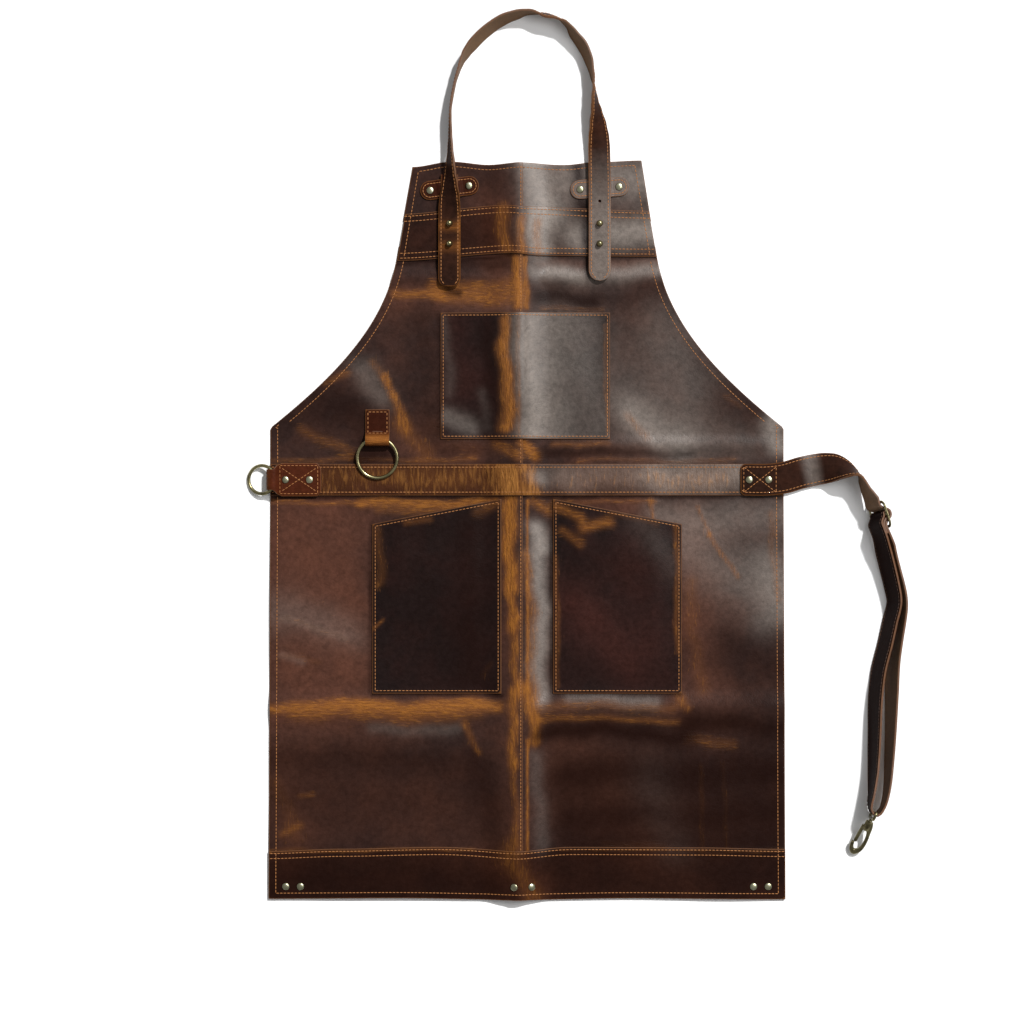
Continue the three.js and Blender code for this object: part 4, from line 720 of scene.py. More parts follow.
def sew_points(bm, points, ups, pitch=STITCH_PITCH):
    """Stitches at even spacing along a line of points. ups holds the leather's outward direction at each."""
    lengths = [0.0]
    for a, b in zip(points, points[1:]):
        lengths.append(lengths[-1] + (b - a).length)
    count = max(1, int(lengths[-1] / pitch))
    step = lengths[-1] / count
    k = 0
    for n in range(count):
        middle = (n + 0.5) * step
        while lengths[k + 1] < middle and k < len(lengths) - 2:
            k += 1
        share = (middle - lengths[k]) / max(1e-6, lengths[k + 1] - lengths[k])
        place = points[k].lerp(points[k + 1], share)
        along = (points[k + 1] - points[k]).normalized()
        up = ups[k].lerp(ups[k + 1], share).normalized()
        side = up.cross(along).normalized()
        up = along.cross(side)
        turn = Matrix((along, side, up)).transposed().to_4x4()
        turn.translation = place + up * 0.08
        before = len(bm.verts)
        bm.from_mesh(STITCH)
        bm.verts.ensure_lookup_table()
        bmesh.ops.transform(bm, matrix=turn, verts=bm.verts[before:])


def on_surface(path, surface):
    points, ups = [], []
    for x, y in path:
        points.append(Vector((x, y, surface(x, y))))
        slope_x = (surface(x + 1, y) - surface(x - 1, y)) / 2
        slope_y = (surface(x, y + 1) - surface(x, y - 1)) / 2
        ups.append(Vector((-slope_x, -slope_y, 1)).normalized())
    return points, ups


def dense(path, step=4.0):
    """A path with points added so that none lie further apart than the step."""
    made = [path[0]]
    for (x0, y0), (x1, y1) in zip(path, path[1:]):
        count = max(1, math.ceil(math.hypot(x1 - x0, y1 - y0) / step))
        made += [(lerp(x0, x1, n / count), lerp(y0, y1, n / count)) for n in range(1, count + 1)]
    return made


def sew(name, paths, surface):
    bm = bmesh.new()
    for path in paths:
        points, ups = on_surface(dense(path), surface)
        sew_points(bm, points, ups)
    return finish_piece(bm, f"{name}_stitching", [thread], "apron")


def sheet_top(lift):
    return lambda x, y: drape(x, y) + lift(x, y) + LEATHER


def outer_surface(x, y):
    """Top of the panels, and of the bands where they cover the panels."""
    banded = y < hem_top(x) or band_bottom(x) < y < band_top(x)
    if banded:
        return sheet_top(band_lift)(x, y)
    return sheet_top(lapped_lift if x < SEAM_X else flat_lift)(x, y)


def side_seam(side, start, end):
    """The row of stitches along one side, inside the outline, between two heights."""
    made = []
    for k in range(61):
        y = lerp(start, end, k / 60)
        slope = (half_width(y + 1) - half_width(y - 1)) / 2
        reach = OUTLINE_SEAM / math.hypot(1, slope)
        made.append((side * (half_width(y) - reach), y))
    return made


def rows_across(edge, x0, x1, *insets):
    count = 48
    return [[(lerp(x0, x1, k / count), edge(lerp(x0, x1, k / count)) + inset) for k in range(count + 1)]
            for inset in insets]


def make_body_seams():
    bib_seam_top = lambda x: bib_top(x) - 5.8
    hem_seam = lambda x: hem_bottom(x) + 6.5
    sides = []
    for side in (-1, 1):
        low = hem_seam(side * (HEM_WIDTH / 2 - OUTLINE_SEAM))
        sides.append(side_seam(side, low, -BELT_WIDTH / 2 - 1))
        sides.append(side_seam(side, BELT_WIDTH / 2 + 1, SIDE_HEIGHT + 4))
        arm = []
        for (x0, y0), (x1, y1) in zip(ARMHOLE, ARMHOLE[1:]):
            run = math.hypot(x1 - x0, y1 - y0)
            arm.append((side * (x0 - OUTLINE_SEAM * (y1 - y0) / run), y0 + OUTLINE_SEAM * (x1 - x0) / run))
        sides.append([place for place in arm if place[1] > SIDE_HEIGHT + 4])
        sides.append(side_seam(side, CHEST_TOP, bib_seam_top(side * BIB_TOP_WIDTH / 2)))
    top_half = half_width(BIB_TOP - 5.8) - OUTLINE_SEAM
    hem_half = HEM_WIDTH / 2 - OUTLINE_SEAM
    sides += rows_across(bib_seam_top, -top_half, top_half, 0)
    sides += rows_across(hem_seam, -hem_half, hem_half, 0)
    sew("outline", sides, outer_surface)

    seam_x = SEAM_X - 2.3
    stretches = [
        (hem_top(seam_x), -BELT_WIDTH / 2), (BELT_WIDTH / 2, CHEST_POCKET_BOTTOM),
        (CHEST_POCKET_TOP, band_bottom(seam_x)), (band_top(seam_x), BIB_TOP - 3),
    ]
    sew("centre_seam", [[(seam_x, y0), (seam_x, y1)] for y0, y1 in stretches], sheet_top(lapped_lift))

    chest = CHEST_TOP_WIDTH / 2 - 3
    rows = rows_across(band_top, -chest + 5, chest - 5, -2.8, -8.6)
    rows += rows_across(band_bottom, -chest, chest, 3, 8.6)
    rows += rows_across(hem_top, -HEM_WIDTH / 2 + 1, HEM_WIDTH / 2 - 1, -2.9, -8.7)
    for inset in (3.8, BELT_WIDTH - 3.8):
        rows += rows_across(constant(-BELT_WIDTH / 2), -SKIRT_WIDTH / 2 + 1, SKIRT_WIDTH / 2 - 1, inset)
    sew("bands", rows, sheet_top(band_lift))


def make_pocket_seams():
    for name, side in SIDES.items():
        x0, x1, mouth = skirt_pocket_edges(side)
        a, b, low = x0 + 3.4, x1 - 3.4, POCKET_LOW + 3.3
        paths = [[(a, mouth(a) - 3.2), (a, low)], [(b, mouth(b) - 3.2), (b, low)], [(a, low), (b, low)],
                 [(a, mouth(a) - 3.4), (b, mouth(b) - 3.4)]]
        sew(f"pocket_{name}", paths, sheet_top(LIFTS[name]))
    low, high = CHEST_POCKET_BOTTOM + 3, CHEST_POCKET_TOP - 3
    left, right = CHEST_POCKET_LEFT, CHEST_POCKET_RIGHT
    paths = [[(left + 3, low), (left + 3, high)], [(right - 3, low), (right - 3, high)],
             [(left + 3, low), (right - 3, low)], [(left + 3, high), (right - 3, high)]]
    sew("chest_pocket", paths, sheet_top(LIFTS["chest"]))


# Ribbons: strips of strap leather that bend along their length
def catmull(p0, p1, p2, p3, t):
    """Centripetal Catmull-Rom curve between p1 and p2."""
    d0, d1, d2 = [max(1e-4, (b - a).length ** 0.5) for a, b in ((p0, p1), (p1, p2), (p2, p3))]
    start = ((p1 - p0) / d0 - (p2 - p0) / (d0 + d1) + (p2 - p1) / d1) * d1
    end = ((p2 - p1) / d1 - (p3 - p1) / (d1 + d2) + (p3 - p2) / d2) * d1
    c2 = -3 * p1 + 3 * p2 - 2 * start - end
    c3 = 2 * p1 - 2 * p2 + start + end
    return p1 + start * t + c2 * t * t + c3 * t * t * t


def curve_point(points, k, t):
    last = len(points) - 1
    before = points[k - 1] if k else 2 * points[0] - points[1]
    after = points[k + 2] if k + 2 <= last else 2 * points[last] - points[last - 1]
    return catmull(before, points[k], points[k + 1], after, t)


def stations_of(rows, width, thickness, steps):
    """Stations along a strip drawn in plan. Rows: x, y, lean in degrees, lift, as in the part."""
    points = [Vector((x, y, 0)) for x, y, _, _ in rows]
    made = []
    for n in range((len(rows) - 1) * steps + 1):
        k = min(n // steps, len(rows) - 2)
        share = n / steps - k
        lean = math.radians(lerp(rows[k][2], rows[k + 1][2], smooth(share)))
        lift = lerp(rows[k][3], rows[k + 1][3], smooth(share))
        place = curve_point(points, k, share)
        nudge = 0.01 if share < 0.99 else -0.01
        along = (curve_point(points, k, share + nudge) - place) * (1 if nudge > 0 else -1)
        along.normalize()
        side = Vector((along.y, -along.x, 0))
        across = side * math.cos(lean) + Vector((0, 0, math.sin(lean)))
        edge = place - side * math.cos(lean) * width / 2
        edge.z = lift + abs(math.cos(lean)) * thickness / 2
        made.append({"edge": edge, "across": across, "inset": 0.0})
    return made


def refined(stations, steps):
    """More stations on a smooth curve through the given ones."""
    edges = [station["edge"] for station in stations]
    made = []
    for k in range(len(stations) - 1):
        for n in range(steps):
            share = n / steps
            a, b = stations[k], stations[k + 1]
            made.append({
                "edge": curve_point(edges, k, share),
                "across": a["across"].lerp(b["across"], share).normalized(),
                "inset": lerp(a["inset"], b["inset"], share),
            })
    made.append(stations[-1])
    return made


def round_end(stations, radius):
    """Rounds the corners of a strip's first stations."""
    tip = stations[0]["edge"].copy()
    for station in stations:
        distance = (station["edge"] - tip).length
        if distance >= radius:
            break
        station["inset"] = max(station["inset"], radius - math.sqrt(radius ** 2 - (radius - distance) ** 2))


def strip_frames(stations, width):
    """Middle, grain direction and run of each station."""
    middles = [station["edge"] + station["across"] * width / 2 for station in stations]
    made, run = [], 0.0
    for k, station in enumerate(stations):
        along = (middles[min(k + 1, len(middles) - 1)] - middles[max(k - 1, 0)]).normalized()
        grain = station["across"].cross(along).normalized()
        if k:
            run += (middles[k] - middles[k - 1]).length
        made.append({"along": along, "grain": grain, "run": run})
    return made


def strip_point(station, place, width, thickness, share, crown=0.35):
    """A point on the grain side, share of the way across. The middle stands a little proud of the edges."""
    inset = station["inset"]
    across = inset + share * (width - 2 * inset)
    proud = crown * (1 - (2 * share - 1) ** 6)
    return station["edge"] + station["across"] * across + place["grain"] * (thickness / 2 + proud - crown)


def punch(bm, place, radius):
    """A round hole in a strip, through the faces round a place on it."""
    near = [face for face in bm.faces if (face.calc_center_median() - place).length < 1.3 * radius]
    bmesh.ops.delete(bm, geom=near, context="FACES")
    for vert in bm.verts:
        away = vert.co - place
        if vert.is_boundary and away.length < 4 * radius:
            vert.co = place + away.normalized() * radius


def strip_piece(name, stations, width, thickness, materials, nodes, columns=10, colours=None, hole=None):
    """A strip of leather through its stations, with its edge distance and a UV map in metres along it."""
    places = strip_frames(stations, width)
    rows = len(stations) - 1
    bm = bmesh.new()
    bmesh.ops.create_grid(bm, x_segments=columns, y_segments=rows, size=0.5)
    edge = bm.verts.layers.float.new("edge")
    kinds = ("pulled", "painted_sheen", "painted_shade", "reddened", "upright")
    layers = {kind: bm.verts.layers.float.new(kind) for kind in kinds}
    uv = bm.loops.layers.uv.new("strip")
    marks = {}
    for vert in bm.verts:
        share = vert.co.x + 0.5
        k = round((vert.co.y + 0.5) * rows)
        station, place = stations[k], places[k]
        vert.co = strip_point(station, place, width, thickness, share)
        end = min(place["run"], places[-1]["run"] - place["run"])
        vert[edge] = min(share * width, (1 - share) * width, end)
        marks[vert.index] = (share * width * MM, place["run"] * MM)
        for kind, layer in layers.items():
            vert[layer] = (colours or {}).get(kind, lambda s, r: 0.0)(share, place["run"])
    for face in bm.faces:
        for loop in face.loops:
            loop[uv].uv = marks[loop.vert.index]
    bm.normal_update()
    if sum(face.normal.dot(places[0]["grain"]) for face in bm.faces[:columns]) < 0:
        bmesh.ops.reverse_faces(bm, faces=bm.faces)
    if hole:
        punch(bm, *hole)
    piece = finish_piece(bm, name, materials, "apron", nodes)
    thicken(piece, thickness)
    return piece, places


def strip_seam(bm, stations, places, width, thickness, inset, start=0, end=None):
    """A row of stitches along a strip, at an inset from its lower edge, or from its upper edge if negative."""
    points, ups = [], []
    for station, place in list(zip(stations, places))[start:end]:
        share = inset / width if inset > 0 else 1 + inset / width
        reach = station["inset"]
        if reach:
            share = lerp(share, 0.5, clamp01(reach / (width / 2)))
        points.append(strip_point(station, place, width, thickness, share))
        ups.append(place["grain"])
    sew_points(bm, points, ups)


# Neck strap. Columns: place across as a share of NECK_SPREAD, height over the bib's top edge as a share of
# NECK_RISE, or below it of NECK_DROP, lean, and lift as a share of the height over the bib
NECK_WIDTH = 25.4
NECK_SPREAD = 173.7
NECK_RISE = 173.7
NECK_DROP = 142.4
NECK_X = -2.8
NECK_STUDS = [0.49, 0.655]
NECK_HOLE = 0.31
STRAP_HOLE_RADIUS = 1.8
KEEPER_LENGTH = 68.0
KEEPER_WIDTH = 22.0
KEEPER_RIVETS = 45.0
KEEPER_Y = BIB_TOP - 28.5
KEEPER_TURNS = {"left": 7, "right": 4}
HANGER_WIDTH = 20.0
KEEPER_ARCH = HANGER_LEATHER + GAP
HANGER_UPPER = LAYER + HANGER_LEATHER + GAP + TAB_LEATHER + GAP
STRAP_OVER_BIB = HANGER_UPPER + HANGER_LEATHER + GAP
NECK_ROWS = [
    (-0.5, -1, 0, 1), (-0.5, -0.976, 0, 1), (-0.5, -0.93, 0, 1), (-0.5, -0.75, 0, 1), (-0.5, -0.585, 0, 1),
    (-0.5, -0.49, 0, 1), (-0.499, -0.43, 0, 1), (-0.499, -0.37, 8, 1), (-0.498, -0.285, 24, 1), (-0.497, -0.187, 46, 1),
    (-0.496, -0.098, 60, 1), (-0.495, -0.016, 68, 1), (-0.495, 0.087, 78, 0.4), (-0.495, 0.187, 84, 0),
    (-0.495, 0.287, 87, 0), (-0.492, 0.367, 89, 0), (-0.479, 0.453, 90, 0), (-0.46, 0.547, 90, 0),
    (-0.44, 0.613, 92, 0), (-0.419, 0.673, 97, 0), (-0.387, 0.733, 106, 0), (-0.337, 0.797, 112, 0),
    (-0.267, 0.867, 112, 0), (-0.157, 0.945, 111, 0), (-0.067, 0.981, 106, 0), (0.034, 1.003, 94, 0),
    (0.143, 0.981, 74, 0), (0.213, 0.963, 80, 0), (0.279, 0.923, 94, 0), (0.331, 0.85, 107, 0),
    (0.384, 0.78, 112, 0), (0.424, 0.695, 108, 0), (0.451, 0.589, 97, 0), (0.463, 0.5, 86, 0),
    (0.469, 0.42, 74, 0), (0.48, 0.347, 62, 0), (0.489, 0.253, 40, 0.1), (0.494, 0.167, 20, 0.4),
    (0.496, 0.087, 6, 0.8), (0.498, -0.016, 0, 1), (0.5, -0.18, 0, 1), (0.5, -0.285, 0, 1), (0.5, -0.335, 0, 1), (0.5, -0.585, 0, 1),
    (0.5, -0.8, 0, 1), (0.5, -0.875, 0, 1), (0.5, -0.93, 0, 1), (0.5, -0.956, 0, 1),
]


def keeper_x(side):
    return NECK_X + SIDES[side] * NECK_SPREAD / 2


def make_neck_strap():
    rows = [(NECK_X + across * NECK_SPREAD, BIB_TOP + up * (NECK_RISE if up > 0 else NECK_DROP), lean,
             lift * STRAP_OVER_BIB) for across, up, lean, lift in NECK_ROWS]
    stations = stations_of(rows, NECK_WIDTH, STRAP_LEATHER, 5)
    round_end(stations, 0.36 * NECK_WIDTH)
    stations.reverse()
    round_end(stations, 0.49 * NECK_WIDTH)
    stations.reverse()
    studs = [(0.976 - drop) * NECK_DROP for drop in NECK_STUDS]
    golden = lambda share, run: 0.1 + 0.4 * max(bump(run - stud, 12) for stud in studs) + 0.3 * ramp(share, 0.75, 1)
    # Painted sheen towards the strap's far end, a grey standing in for light glancing off it
    sheen_along = lambda share, run: 0.55 * ramp(run, 560, 640)
    hole_at = Vector((keeper_x("right"), BIB_TOP - NECK_HOLE * NECK_DROP, STRAP_OVER_BIB + STRAP_LEATHER))
    _, places = strip_piece("neck_strap_leather", stations, NECK_WIDTH, STRAP_LEATHER, STRAP,
                            ["neck_strap"], 12, {"pulled": golden, "painted_sheen": sheen_along}, (hole_at, STRAP_HOLE_RADIUS))
    bm = bmesh.new()
    for inset in (3.0, -3.0):
        strip_seam(bm, stations, places, NECK_WIDTH, STRAP_LEATHER, inset, 4, -4)
    finish_piece(bm, "neck_strap_stitching", [thread], "apron")


def make_keepers():
    radius, end = KEEPER_WIDTH / 2, KEEPER_LENGTH / 2
    skew = radius * math.sin(math.radians(max(KEEPER_TURNS.values())))
    inner = HANGER_WIDTH / 2 + skew + 2 * GAP
    half = lambda y: end - radius + math.sqrt(max(0.0, radius ** 2 - y * y))
    arch = lambda x: KEEPER_ARCH * smooth(ramp(abs(x), inner + 2 * KEEPER_ARCH, inner))
    for side, turn in KEEPER_TURNS.items():
        spin = Matrix.Rotation(math.radians(turn), 4, "Z")
        move = Matrix.Translation((keeper_x(side), KEEPER_Y, LAYER + TAB_LEATHER))
        bm = sheet_grid(lambda y: -half(y), half, constant(-radius + 0.01), constant(radius - 0.01), 1.2)
        edge = bm.verts.layers.float["edge"]
        for vert in bm.verts:
            x, y, _ = vert.co
            vert[edge] = max(0.0, min(vert[edge], radius - math.hypot(max(0, abs(x) - end + radius), y)))
            vert.co.z = arch(x)
        bmesh.ops.transform(bm, matrix=move @ spin, verts=bm.verts)
        for vert in bm.verts:
            vert.co.z += drape(vert.co.x, vert.co.y)
        piece = finish_piece(bm, f"keeper_tab_{side}_leather", TAB, "apron", [f"keeper_tab_{side}"])
        # Painted sheen on the right keeper only, a grey standing in for light glancing off it
        grey = {"left": 0.0, "right": 0.55}[side]
        x = keeper_x(side)
        paint(piece, {"pulled": [], "painted_sheen": [(x - 20, KEEPER_Y, x + 40, KEEPER_Y, 30, grey)], "painted_shade": []})
        thicken(piece, TAB_LEATHER)
        inside = radius - 3.2
        path = []
        for k in range(49):
            angle = 2 * math.pi * k / 48
            x = math.copysign(end - radius, math.cos(angle)) + inside * math.cos(angle)
            path.append((x, inside * math.sin(angle)))
        points = [move @ spin @ Vector((x, y, arch(x))) for x, y in dense(path, 2.5)]
        for point in points:
            point.z += drape(point.x, point.y)
        bm = bmesh.new()
        sew_points(bm, points, [Vector((0, 0, 1))] * len(points), 3.6)
        finish_piece(bm, f"keeper_tab_{side}_stitching", [thread], "apron")


def fold_stations(path, across, width, start):
    """Stations along a folded strip. path holds points along the fold, start the strip's lower edge."""
    return [{"edge": start + point, "across": across, "inset": 0.0} for point in path]


def make_hangers():
    reach = KEEPER_WIDTH / 2 + KEEPER_LENGTH / 2 * math.sin(math.radians(KEEPER_TURNS["left"]))
    top, low = KEEPER_Y + reach + GAP, KEEPER_Y - reach
    tail = BIB_TOP - NECK_STUDS[1] * NECK_DROP - 10
    lower, upper = LAYER + HANGER_LEATHER / 2, HANGER_UPPER + HANGER_LEATHER / 2
    rise = (upper - lower) / 2
    bend = [(top + rise * math.sin(t) - rise, lower + rise - rise * math.cos(t))
            for t in [k * math.pi / 6 for k in range(7)]]
    line = [(low, lower), ((low + top) / 2, lower), *bend, ((top + tail) / 2, upper), (tail, upper)]
    for side in SIDES:
        x = keeper_x(side)
        stations = [{"edge": Vector((x + HANGER_WIDTH / 2, y, z)), "across": Vector((-1, 0, 0)), "inset": 0.0}
                    for y, z in line]
        for station in stations:
            station["edge"].z += drape(x, station["edge"].y)
        strip_piece(f"neck_hanger_{side}_leather", refined(stations, 3), HANGER_WIDTH, HANGER_LEATHER, TAB,
                    [f"neck_hanger_{side}"], 6)


# Folded tabs that hold the rings
TOOL_RING_RADIUS = 23.0
SIDE_RING_RADIUS = 16.3
RING_WIRE_RADIUS = 2.0
RING_TAB_WIDTH = 28.0
RING_TAB_LENGTH = 36.0
RING_TAB_X = -173.0
RING_AXIS_RAISE = 27.0
SIDE_TAB_LENGTH = 56.0
SIDE_TAB_HEIGHT = 38.5
SIDE_NECK_WIDTH = 24.0
SIDE_TAB_CORNER = 6.0
SIDE_TAB_LEFT = -SKIRT_WIDTH / 2 + 3.0
ON_BELT = 2 * LAYER


def ring_hollow(radius, width):
    reach = math.sqrt(radius ** 2 - (width / 2) ** 2)
    slant = RING_WIRE_RADIUS * (radius / reach - 1)
    return (radius - reach + slant) / 2 + RING_WIRE_RADIUS + 1.5 * GAP


def folded_line(hollow, length):
    """A strip folded round a ring, from its lower end round the hollow and back. Points along it and up."""
    radius = hollow + TAB_LEATHER / 2
    top = TAB_LEATHER * 1.5 - hollow - TAB_LEATHER
    top_start = math.radians(25)
    turns = [math.radians(270 - k * (270 - 35) / 14) for k in range(15)]
    curl = [(radius * math.cos(t), radius * math.sin(t)) for t in turns]
    shoulder = (radius - top * math.sin(top_start)) / math.cos(top_start)
    below = [(length, -radius), (0.75 * length, -radius), (0.5 * length, -radius), (0.25 * length, -radius)]
    slope = [(shoulder + 1.5, top + 0.15)]
    above = [(lerp(shoulder + 4, length, k / 10), top) for k in range(11)]
    return below + curl + slope + above


def fold_top(line, reach):
    """Height of a folded strip's outer face over the ring's axis, at a distance along the strip."""
    crown = max(range(len(line)), key=lambda k: line[k][1])
    upper = line[crown:]
    return float(np.interp(reach, [x for x, z in upper], [z for x, z in upper])) + TAB_LEATHER / 2


def make_ring_tab():
    hollow = ring_hollow(TOOL_RING_RADIUS, RING_TAB_WIDTH)
    axis = Vector((RING_TAB_X, BELT_WIDTH / 2 + RING_AXIS_RAISE, LAYER + TAB_LEATHER + hollow))
    line = folded_line(hollow, RING_TAB_LENGTH)
    stations = [{"edge": axis + Vector((-RING_TAB_WIDTH / 2, y, z)), "across": Vector((1, 0, 0)), "inset": 0.0}
                for y, z in line]
    stations = refined(stations, 2)
    curl = 4 * RING_TAB_LENGTH / 4
    golden = lambda share, run: 0.85 * bump(run - 56, 16) + 0.5 * (run < curl + 4)
    strip_piece("ring_tab_leather", stations, RING_TAB_WIDTH, TAB_LEATHER, TAB, ["ring_tab"], 10,
                {"pulled": golden, "reddened": lambda s, r: 0.4, "painted_shade": lambda s, r: 0.5 * ramp(r, 66, 74)})
    x0, x1 = axis.x - RING_TAB_WIDTH / 2 + 3, axis.x + RING_TAB_WIDTH / 2 - 3
    y0, y1 = axis.y + 8.5, axis.y + RING_TAB_LENGTH - 3
    sew("ring_tab", [[(x0, y0), (x0, y1)], [(x0, y1), (x1, y1)], [(x1, y1), (x1, y0)], [(x1, y0), (x0, y0)]],
        lambda x, y: axis.z + fold_top(line, y - axis.y))


def make_side_tab():
    hollow = ring_hollow(SIDE_RING_RADIUS, SIDE_NECK_WIDTH)
    outer = hollow + TAB_LEATHER
    axis = Vector((SIDE_TAB_LEFT, 0, ON_BELT + outer))
    stations = []
    line = folded_line(hollow, SIDE_TAB_LENGTH)
    for x, z in line:
        neck = (SIDE_TAB_HEIGHT - SIDE_NECK_WIDTH) / 2 * (1 - smooth(ramp(x, 0, outer + 2)))
        corner = 0.0
        if x > SIDE_TAB_LENGTH - SIDE_TAB_CORNER:
            away = SIDE_TAB_LENGTH - x
            corner = SIDE_TAB_CORNER - math.sqrt(SIDE_TAB_CORNER ** 2 - (SIDE_TAB_CORNER - away) ** 2)
        stations.append({"edge": axis + Vector((x, SIDE_TAB_HEIGHT / 2, z)), "across": Vector((0, -1, 0)),
                         "inset": max(neck, corner)})
    stations = refined(stations, 3)
    strip_piece("side_tab_leather", stations, SIDE_TAB_HEIGHT, TAB_LEATHER, TAB, ["side_tab"], 12,
                {"pulled": lambda s, r: 0.12 + 0.3 * bump(r - 66, 12), "reddened": lambda s, r: 0.5})
    x0, x1 = axis.x + 8.5, axis.x + SIDE_TAB_LENGTH - 4
    y0, y1 = -SIDE_TAB_HEIGHT / 2 + 3, SIDE_TAB_HEIGHT / 2 - 3
    sew("side_tab", [[(x0, y0), (x1, y0)], [(x1, y0), (x1, y1)], [(x1, y1), (x0, y1)], [(x0, y1), (x0, y0)],
                     [(x0 + 2, y0 + 3), (x1 - 2, y1 - 3)], [(x0 + 2, y1 - 3), (x1 - 2, y0 + 3)]],
        lambda x, y: axis.z + fold_top(line, x - axis.x))


# Waist strap, drawn as in the part
WAIST_WIDTH = 36.5
WAIST_REACH = 144.75
WAIST_HANG = 386.0
WAIST_TAB_LENGTH = 50.0
WAIST_TAB_RIVETS = [-0.8, -0.35]
SLIDER_LENGTH = 33.0
SLIDER_WIRE = 3.6
SLIDER_DEPTH = 2.4
SLIDER_BAR = 3.0
SLIDER_CLEARANCE = 1.0
SLIDER_CORNER = 8.0
SLIDER_LEAN = math.radians(110)
SLIDER_HEADING = math.radians(-72)
SLIDER_AT = (0.752, 0.107)
EYE_WIRE_RADIUS = 1.8
EYE_BAR_AT = (0.714, 0.991)
HOOK_HEADING = math.radians(-116)
AT_EYE = 2 * EYE_WIRE_RADIUS + GAP
FLOOR_GAP = 0.45


def waist_place(out, down):
    return SKIRT_WIDTH / 2 + out * (WAIST_TAB_LENGTH if out < 0 else WAIST_REACH), -down * WAIST_HANG


slider_along = Vector((math.cos(SLIDER_HEADING), math.sin(SLIDER_HEADING), 0))
slider_across = Vector((slider_along.y, -slider_along.x, 0)) * math.cos(SLIDER_LEAN)
slider_across.z = math.sin(SLIDER_LEAN)
slider_face = slider_along.cross(slider_across)
SLIDER_HALF_WIDTH = WAIST_WIDTH / 2 + SLIDER_CLEARANCE + SLIDER_WIRE
slider_middle = Vector((*waist_place(*SLIDER_AT),
                        slider_across.z * SLIDER_HALF_WIDTH + slider_face.z * SLIDER_DEPTH / 2))
AT_SLIDER = slider_middle.z - slider_across.z * WAIST_WIDTH / 2

# Columns: out from the apron's edge as a share of WAIST_REACH, or on the belt of WAIST_TAB_LENGTH, down as a
# share of WAIST_HANG, lean, lift
WAIST_FIRST_ROWS = [
    (-1, 0, 0, ON_BELT), (-0.95, 0, 0, ON_BELT), (-0.8, 0, 0, ON_BELT), (-0.4, 0, 0, ON_BELT),
    (0.001, -0.006, 0, ON_BELT), (0.13, -0.02, 0, 0.75 * ON_BELT), (0.224, -0.028, 3, 0.3 * ON_BELT),
    (0.32, -0.034, 12, 0), (0.416, -0.037, 32, 0), (0.496, -0.033, 56, 0), (0.56, -0.025, 76, 0),
    (0.6, -0.013, 88, 0), (0.622, 0.006, 96, 0), (0.647, 0.029, 101, 0.5 * AT_SLIDER),
]
WAIST_REAR_ROWS = [
    (0.816, 0.196, 112, 0.7 * AT_SLIDER), (0.838, 0.235, 113, 0.4 * AT_SLIDER), (0.872, 0.283, 113, 0),
    (0.908, 0.337, 113, 0), (0.922, 0.379, 110, 0), (0.896, 0.46, 108, 0), (0.866, 0.541, 108, 0),
    (0.856, 0.628, 107, 0), (0.845, 0.76, 102, 0), (0.832, 0.85, 99, 0.2 * AT_EYE),
    (0.821, 0.904, 96, 0.7 * AT_EYE), (0.8, 0.952, 93, AT_EYE), (0.776, 0.98, 90, AT_EYE),
    (0.745, 0.996, 90, AT_EYE), (0.714, 1, 90, AT_EYE), (0.69, 0.993, 90, AT_EYE), (0.674, 0.975, 90, AT_EYE),
    (0.684, 0.943, 86, AT_EYE), (0.702, 0.871, 78, 0.5 * AT_EYE), (0.709, 0.814, 75, 0), (0.715, 0.736, 73, 0),
    (0.72, 0.661, 71, 0), (0.747, 0.568, 70, 0), (0.795, 0.496, 70, 0), (0.843, 0.415, 70, 0),
    (0.872, 0.367, 70, 0), (0.858, 0.328, 68, 0), (0.818, 0.265, 67, 0.4 * AT_SLIDER),
    (0.784, 0.216, 67, 0.8 * AT_SLIDER),
]
BAR_REACH = (SLIDER_LENGTH - SLIDER_WIRE) / 2
WRAP = SLIDER_BAR / 2 + GAP + STRAP_LEATHER / 2 + 0.25
OVER_WIRE = SLIDER_DEPTH / 2 + 2 * GAP + STRAP_LEATHER / 2
PLY = STRAP_LEATHER + GAP
BEHIND = -WRAP - PLY - GAP / 2
BEND = BAR_REACH - SLIDER_WIRE / 2 - STRAP_LEATHER * 0.8
SLIDER_MAIN_ROWS = [
    (-BAR_REACH - 6, OVER_WIRE), (-BEND, OVER_WIRE + GAP), (-WRAP, BEHIND), (WRAP, BEHIND),
    (BEND, OVER_WIRE + GAP), (BAR_REACH + 6, OVER_WIRE),
]
SLIDER_END_ROWS = [
    (BAR_REACH + 9, OVER_WIRE + 2.1 * PLY), (BAR_REACH, OVER_WIRE + 2.2 * PLY), (0.7 * BEND, OVER_WIRE + 2.2 * PLY),
    *[(WRAP * math.cos(math.radians(turn)), WRAP * math.sin(math.radians(turn)))
      for turn in (80, 125, 170, 215, 260, 300)],
    (0.86 * BEND, OVER_WIRE + 1.1 * PLY), (BAR_REACH + 7, OVER_WIRE + 1.05 * PLY),
]


def in_slider(along, out):
    edge = slider_middle + slider_along * along + slider_face * out - slider_across * WAIST_WIDTH / 2
    return {"edge": edge, "across": slider_across.copy(), "inset": 0.0}


